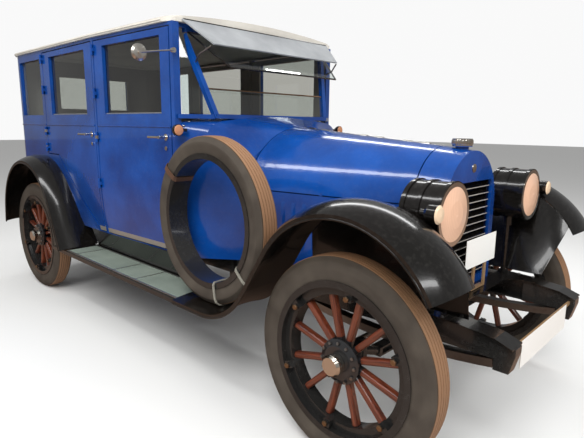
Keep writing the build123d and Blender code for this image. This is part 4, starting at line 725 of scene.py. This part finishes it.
BELT_Z, BELT_R = 1.337, 0.005
BELT_ENDS = {"rear": ((-1.383, 0.7005), (-0.558, 0.7005)), "front": ((-0.513, 0.6995), (0.298, 0.6621))}
belt = round_the_back(-1.4, 0.7005, BODY_CORNER_R, -2.0605, BELT_Z)
piped("belt_bead_body", belt, BELT_R, BLUE, "car")
for side, s in SIDES:
    for end, ends in BELT_ENDS.items():
        bead = [(x, s * y, BELT_Z) for x, y in ends]
        piped(f"belt_bead_{end}_{side}", bead, BELT_R, BLUE, f"side_door_{end}_{side}")
WINDOW_FOOT = {"front": (-0.408, 0.21), "rear": (-1.264, -0.666)}
for side, s in SIDES:
    for end, ends in WINDOW_FOOT.items():
        foot = [(x, s * (0.69 - max(x - JOG_X, 0) * JOG_SLOPE), 1.413) for x in ends]
        piped(f"window_foot_{end}_{side}", foot, 0.005, TREAD_STRIP, f"side_door_{end}_{side}")
ROOF_BEAD_Z = 1.905
roof_line = round_the_back(JOG_X, 0.7165, 0.186, -2.0765, ROOF_BEAD_Z)
roof_line = [(0.26, -0.6795, ROOF_BEAD_Z), *roof_line, (0.26, 0.6795, ROOF_BEAD_Z)]
piped("roof_bead", roof_line, 0.0055, ROOF, "car")
piped("roof_front_bead", [(0.341, -0.59, 1.906), (0.341, 0.59, 1.906)], 0.0075, BLACK, "car")

# Frames of the windscreen's two panes, and the visor's struts
piped("lower_pane_rail", [(0.403, -0.483, 1.549), (0.403, 0.483, 1.549)], 0.0045, BRONZE, "car")
UPPER_CORNERS = [(0.331, -0.5545, 1.846), (0.331, 0.5545, 1.846), (0.56, 0.446, 1.656), (0.56, -0.446, 1.656)]
piped("upper_pane_frame", UPPER_CORNERS, 0.0055, BLACK, "car", closed=True)

for side, s in SIDES:
    strut = [(0.498, s * 0.524, 1.764), (0.43, s * 0.56, 1.722), (0.368, s * 0.535, 1.688)]
    piped(f"visor_strut_{side}", strut, 0.005, STEEL, "car")

# Running-board covering: lino plates between pale strips
BOARD_TOP, BOARD_X, BOARD_Y = 0.446, (-0.846, 0.566), (0.606, 0.83)
STRIPS_X = (-0.7, -0.165, 0.103, 0.562)


def slab(name, x, y, z, finish):
    corners = [Vector((x[i], y[j], z[k])) for k in (0, 1) for i, j in ((0, 0), (1, 0), (1, 1), (0, 1))]
    faces = [(3, 2, 1, 0), (4, 5, 6, 7), (0, 1, 5, 4), (1, 2, 6, 5), (2, 3, 7, 6), (3, 0, 4, 7)]
    mesh = shell(name, corners, faces, smooth=False)
    tidy(mesh)
    return piece(name, mesh, finish, "car")


for side, s in SIDES:
    across = [s * v for v in BOARD_Y]
    slab(f"board_lino_{side}", BOARD_X, across, (BOARD_TOP, BOARD_TOP + 0.0015), LINO)
    for i, y in enumerate((BOARD_Y[0] + 0.005, BOARD_Y[1] - 0.005)):
        slab(f"board_strip_{side}_{i}", BOARD_X, (s * (y - 0.006), s * (y + 0.006)),
             (BOARD_TOP + 0.001, BOARD_TOP + 0.004), TREAD_STRIP)
    for i, x in enumerate(STRIPS_X):
        slab(f"board_cross_{side}_{i}", (x - 0.005, x + 0.005), across,
             (BOARD_TOP + 0.001, BOARD_TOP + 0.0035), TREAD_STRIP)


# Strap and ties round the spare tyre; the half section goes round its outer side
HALF_SECTION = [(0.303, 0.05), (0.314, 0.06), (0.345, 0.0625), (0.38, 0.0645), (0.4, 0.06), (0.413, 0.046),
                (0.418, 0.02)]
SPARE_SECTION = [(0.303, 0.0), *HALF_SECTION, *((r, -t) for r, t in reversed(HALF_SECTION))]


def band(name, turn, width, thick, finish):
    """Flat band wrapped round the spare's section at an angle up from the front."""
    a = math.radians(turn)
    ray, tangent = Vector((math.cos(a), 0, math.sin(a))), Vector((-math.sin(a), 0, math.cos(a)))
    middle = Vector((0.36, 0))
    verts = []
    for r, t in SPARE_SECTION:
        away = (Vector((r, t)) - middle).normalized() * thick
        for layer in (0, 1):
            for edge in (-0.5, 0.5):
                out, side = r + away.x * layer, t + away.y * layer
                spot = Vector(SPARE_CENTRE) + ray * out + Vector((0, side, 0))
                verts.append(spot + tangent * width * edge)
    n, faces = len(SPARE_SECTION), []
    for i in range(n):
        k = (i + 1) % n
        for p, q in ((0, 1), (1, 3), (3, 2), (2, 0)):
            faces.append((i * 4 + p, i * 4 + q, k * 4 + q, k * 4 + p))
    mesh = shell(name, verts, faces, smooth=False)
    tidy(mesh)
    return piece(name, mesh, finish, "car")


STRAP_TURN = 142
band("spare_strap", STRAP_TURN, 0.028, 0.003, STRAP)
band("spare_tie_rear", -76, 0.012, 0.006, ROPE)
band("spare_tie_front", -38, 0.012, 0.006, ROPE)
buckle_ray = Vector((math.cos(math.radians(STRAP_TURN)), 0, math.sin(math.radians(STRAP_TURN))))
buckle = [(Vector(SPARE_CENTRE) + buckle_ray * 0.42, buckle_ray, Vector((0, 1, 0)))]
row("strap_buckle", dome(0.015, 0.012), buckle, NICKEL, "car")

apron_bolts = []
for x in (1.78, 1.85, 1.92):
    for y in (-0.424, 0.424):
        apron_z = 0.6046 - 0.045 * (x - 1.752)
        apron_bolts.append((Vector((x, y, apron_z)), Vector((0, 0, 1)), Vector((1, 0, 0))))
row("apron_bolts", dome(0.008, 0.006), apron_bolts, STEEL, "car")

# Padded seats: cushion and back blown out from slightly smaller blocks
PAD_VOXEL, PAD_CAP, PAD_START = 0.014, 0.02, 0.012
PAD_PRESSURE, PAD_FRAMES = 4, 20
SEATS = (("front", -0.33, 0.19), ("rear", -1.56, -1.01))
CUSHION_LOW, CUSHION_HIGH, SEAT_HALF = 0.8, 0.955, 0.56
CUSHION_REST_Z, BACK_REST_Z, BACK_CLEAR_Z = 0.8006, 0.8014, 0.98


def settled(name, verts, faces, limit):
    """Cloth under pressure from a closed block; limit keeps each settled point in its own space."""
    mesh = shell(name, verts, faces, smooth=False)
    tidy(mesh)
    pad = bpy.data.objects.new(name + "_block", mesh)
    bpy.context.scene.collection.objects.link(pad)

    def applied():
        bpy.context.view_layer.update()
        return bpy.data.meshes.new_from_object(pad.evaluated_get(bpy.context.evaluated_depsgraph_get()))
    remesh = pad.modifiers.new("voxels", "REMESH")
    remesh.mode, remesh.voxel_size = "VOXEL", PAD_VOXEL
    pad.data = applied()
    pad.modifiers.clear()
    start = [v.co.copy() for v in pad.data.vertices]
    cover = pad.modifiers.new("cover", "CLOTH")
    cover.settings.use_pressure, cover.settings.uniform_pressure_force = True, PAD_PRESSURE
    cover.settings.effector_weights.gravity = 0
    for frame_number in range(1, PAD_FRAMES + 1):
        bpy.context.scene.frame_set(frame_number)
    blown = applied()
    pad.modifiers.clear()
    for vertex, was in zip(blown.vertices, start):
        move = vertex.co - was
        vertex.co = limit(was + move * min(1, PAD_CAP / max(move.length, 1e-9)))
    pad.data = blown
    bpy.context.scene.frame_set(1)
    finer = pad.modifiers.new("finer", "SUBSURF")
    finer.levels = finer.render_levels = 1
    done = applied()
    bpy.data.objects.remove(pad)
    done.name = name
    for face in done.polygons:
        face.use_smooth = True
    return done


def prism(outline, half):
    """Block with an (x, z) outline, as wide as half either way."""
    n = len(outline)
    verts = [(x, y, z) for y in (-half, half) for x, z in outline]
    walls = [(i, (i + 1) % n, n + (i + 1) % n, n + i) for i in range(n)]
    return verts, walls + [tuple(reversed(range(n))), tuple(range(n, 2 * n))]


for name, back_x, front_x in SEATS:
    a, b = back_x + 0.024 + PAD_START, front_x - PAD_START
    bottom, top = CUSHION_LOW + 0.004, CUSHION_HIGH - PAD_START
    cushion = [(a, bottom), (b, bottom), (b, top - 0.02), (b - 0.02, top), (a, top)]

    def on_box(spot, least_x=back_x + 0.026):
        return Vector((max(spot.x, least_x), spot.y, max(spot.z, CUSHION_REST_Z)))

    def behind_cushion(spot, most_x=back_x + 0.02):
        front = most_x if spot.z < BACK_CLEAR_Z else most_x + 0.01
        return Vector((min(spot.x, front), spot.y, max(spot.z, BACK_REST_Z)))
    foot_z = CUSHION_LOW + 0.012
    back = [(back_x - 0.128 + PAD_START, foot_z), (back_x + 0.012 - PAD_START, foot_z),
            (back_x - 0.12 - PAD_START, 1.386), (back_x - 0.16, 1.388), (back_x - 0.235 + PAD_START, 1.362)]
    for part, outline, limit in (("cushion", cushion, on_box), ("back", back, behind_cushion)):
        mesh = settled(f"seat_{name}_{part}", *prism(outline, SEAT_HALF - PAD_START), limit)
        made = piece(f"seat_{name}_{part}", mesh, HIDE, "car")
        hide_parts(f"seat_{name}")


# Stage
def plain(name, colour, rough):
    material = bpy.data.materials.new(name)
    material.use_nodes = True
    shader = material.node_tree.nodes["Principled BSDF"]
    shader.inputs["Base Color"].default_value = (*colour, 1)
    shader.inputs["Roughness"].default_value = rough
    return material


FLOOR_REACH, FLOOR_PALE, FLOOR_MIRRORED = 40, (0.72, 0.72, 0.71), (0.27, 0.17, 0.12)
floor_mesh = bpy.data.meshes.new("floor")
corners = [(-FLOOR_REACH, -FLOOR_REACH, 0), (FLOOR_REACH, -FLOOR_REACH, 0), (FLOOR_REACH, FLOOR_REACH, 0),
           (-FLOOR_REACH, FLOOR_REACH, 0)]
floor_mesh.from_pydata(corners, [], [(0, 1, 2, 3)])
floor_paint = plain("floor_paint", FLOOR_PALE, 0.9)
floor_tree = floor_paint.node_tree
# Seen in reflections the floor is brown: a painted reflection of warm surroundings on the car's paint and
# glass.
floor_path = floor_tree.nodes.new("ShaderNodeLightPath")
floor_reflection_tint = floor_tree.nodes.new("ShaderNodeMix")
floor_reflection_tint.data_type = "RGBA"
floor_reflection_tint.inputs[6].default_value = (*FLOOR_PALE, 1)
floor_reflection_tint.inputs[7].default_value = (*FLOOR_MIRRORED, 1)
floor_tree.links.new(floor_path.outputs["Is Glossy Ray"], floor_reflection_tint.inputs[0])
floor_tree.links.new(floor_reflection_tint.outputs[2], floor_tree.nodes["Principled BSDF"].inputs["Base Color"])
floor_mesh.materials.append(floor_paint)
floor = bpy.data.objects.new("floor", floor_mesh)
bpy.context.scene.collection.objects.link(floor)

world = bpy.data.worlds.new("studio")
bpy.context.scene.world = world
world.use_nodes = True
sky = world.node_tree
path = sky.nodes.new("ShaderNodeLightPath")
seen = Wave(sky, path.outputs["Is Camera Ray"]).most(Wave(sky, path.outputs["Is Transmission Ray"]))
mirrored = Wave(sky, path.outputs["Is Glossy Ray"])
background = sky.nodes["Background"]
background.inputs["Color"].default_value = (1, 1, 1, 1)
sky.links.new((seen * 0.45 + 0.5 - mirrored * 0.22).socket, background.inputs["Strength"])


def softbox(name, place, target, width, height, power, mirrored=True):
    data = bpy.data.lights.new(name, "AREA")
    data.shape, data.size, data.size_y, data.energy = "RECTANGLE", width, height, power
    lamp = bpy.data.objects.new(name, data)
    lamp.location = place
    lamp.rotation_euler = (Vector(target) - Vector(place)).to_track_quat("-Z", "Y").to_euler()
    lamp.visible_glossy = mirrored
    bpy.context.scene.collection.objects.link(lamp)


softbox("key", (3.5, -5.0, 5.5), (0, 0, 0.6), 4.0, 3.0, 430, mirrored=False)
softbox("fill", (6.5, 3.0, 3.5), (0.5, 0, 0.8), 4.0, 3.0, 130, mirrored=False)
softbox("top", (-1.0, 0, 6.5), (0, 0, 0), 6.0, 4.0, 170, mirrored=False)
softbox("strip_right", (0.6, -2.6, 4.4), (0.4, 0, 0.9), 5.0, 0.45, 70)
softbox("strip_front", (5.2, -1.2, 3.6), (1.2, 0, 0.9), 3.2, 0.4, 45)
softbox("strip_left", (-0.5, 2.8, 4.4), (0, 0, 0.9), 5.0, 0.45, 60)
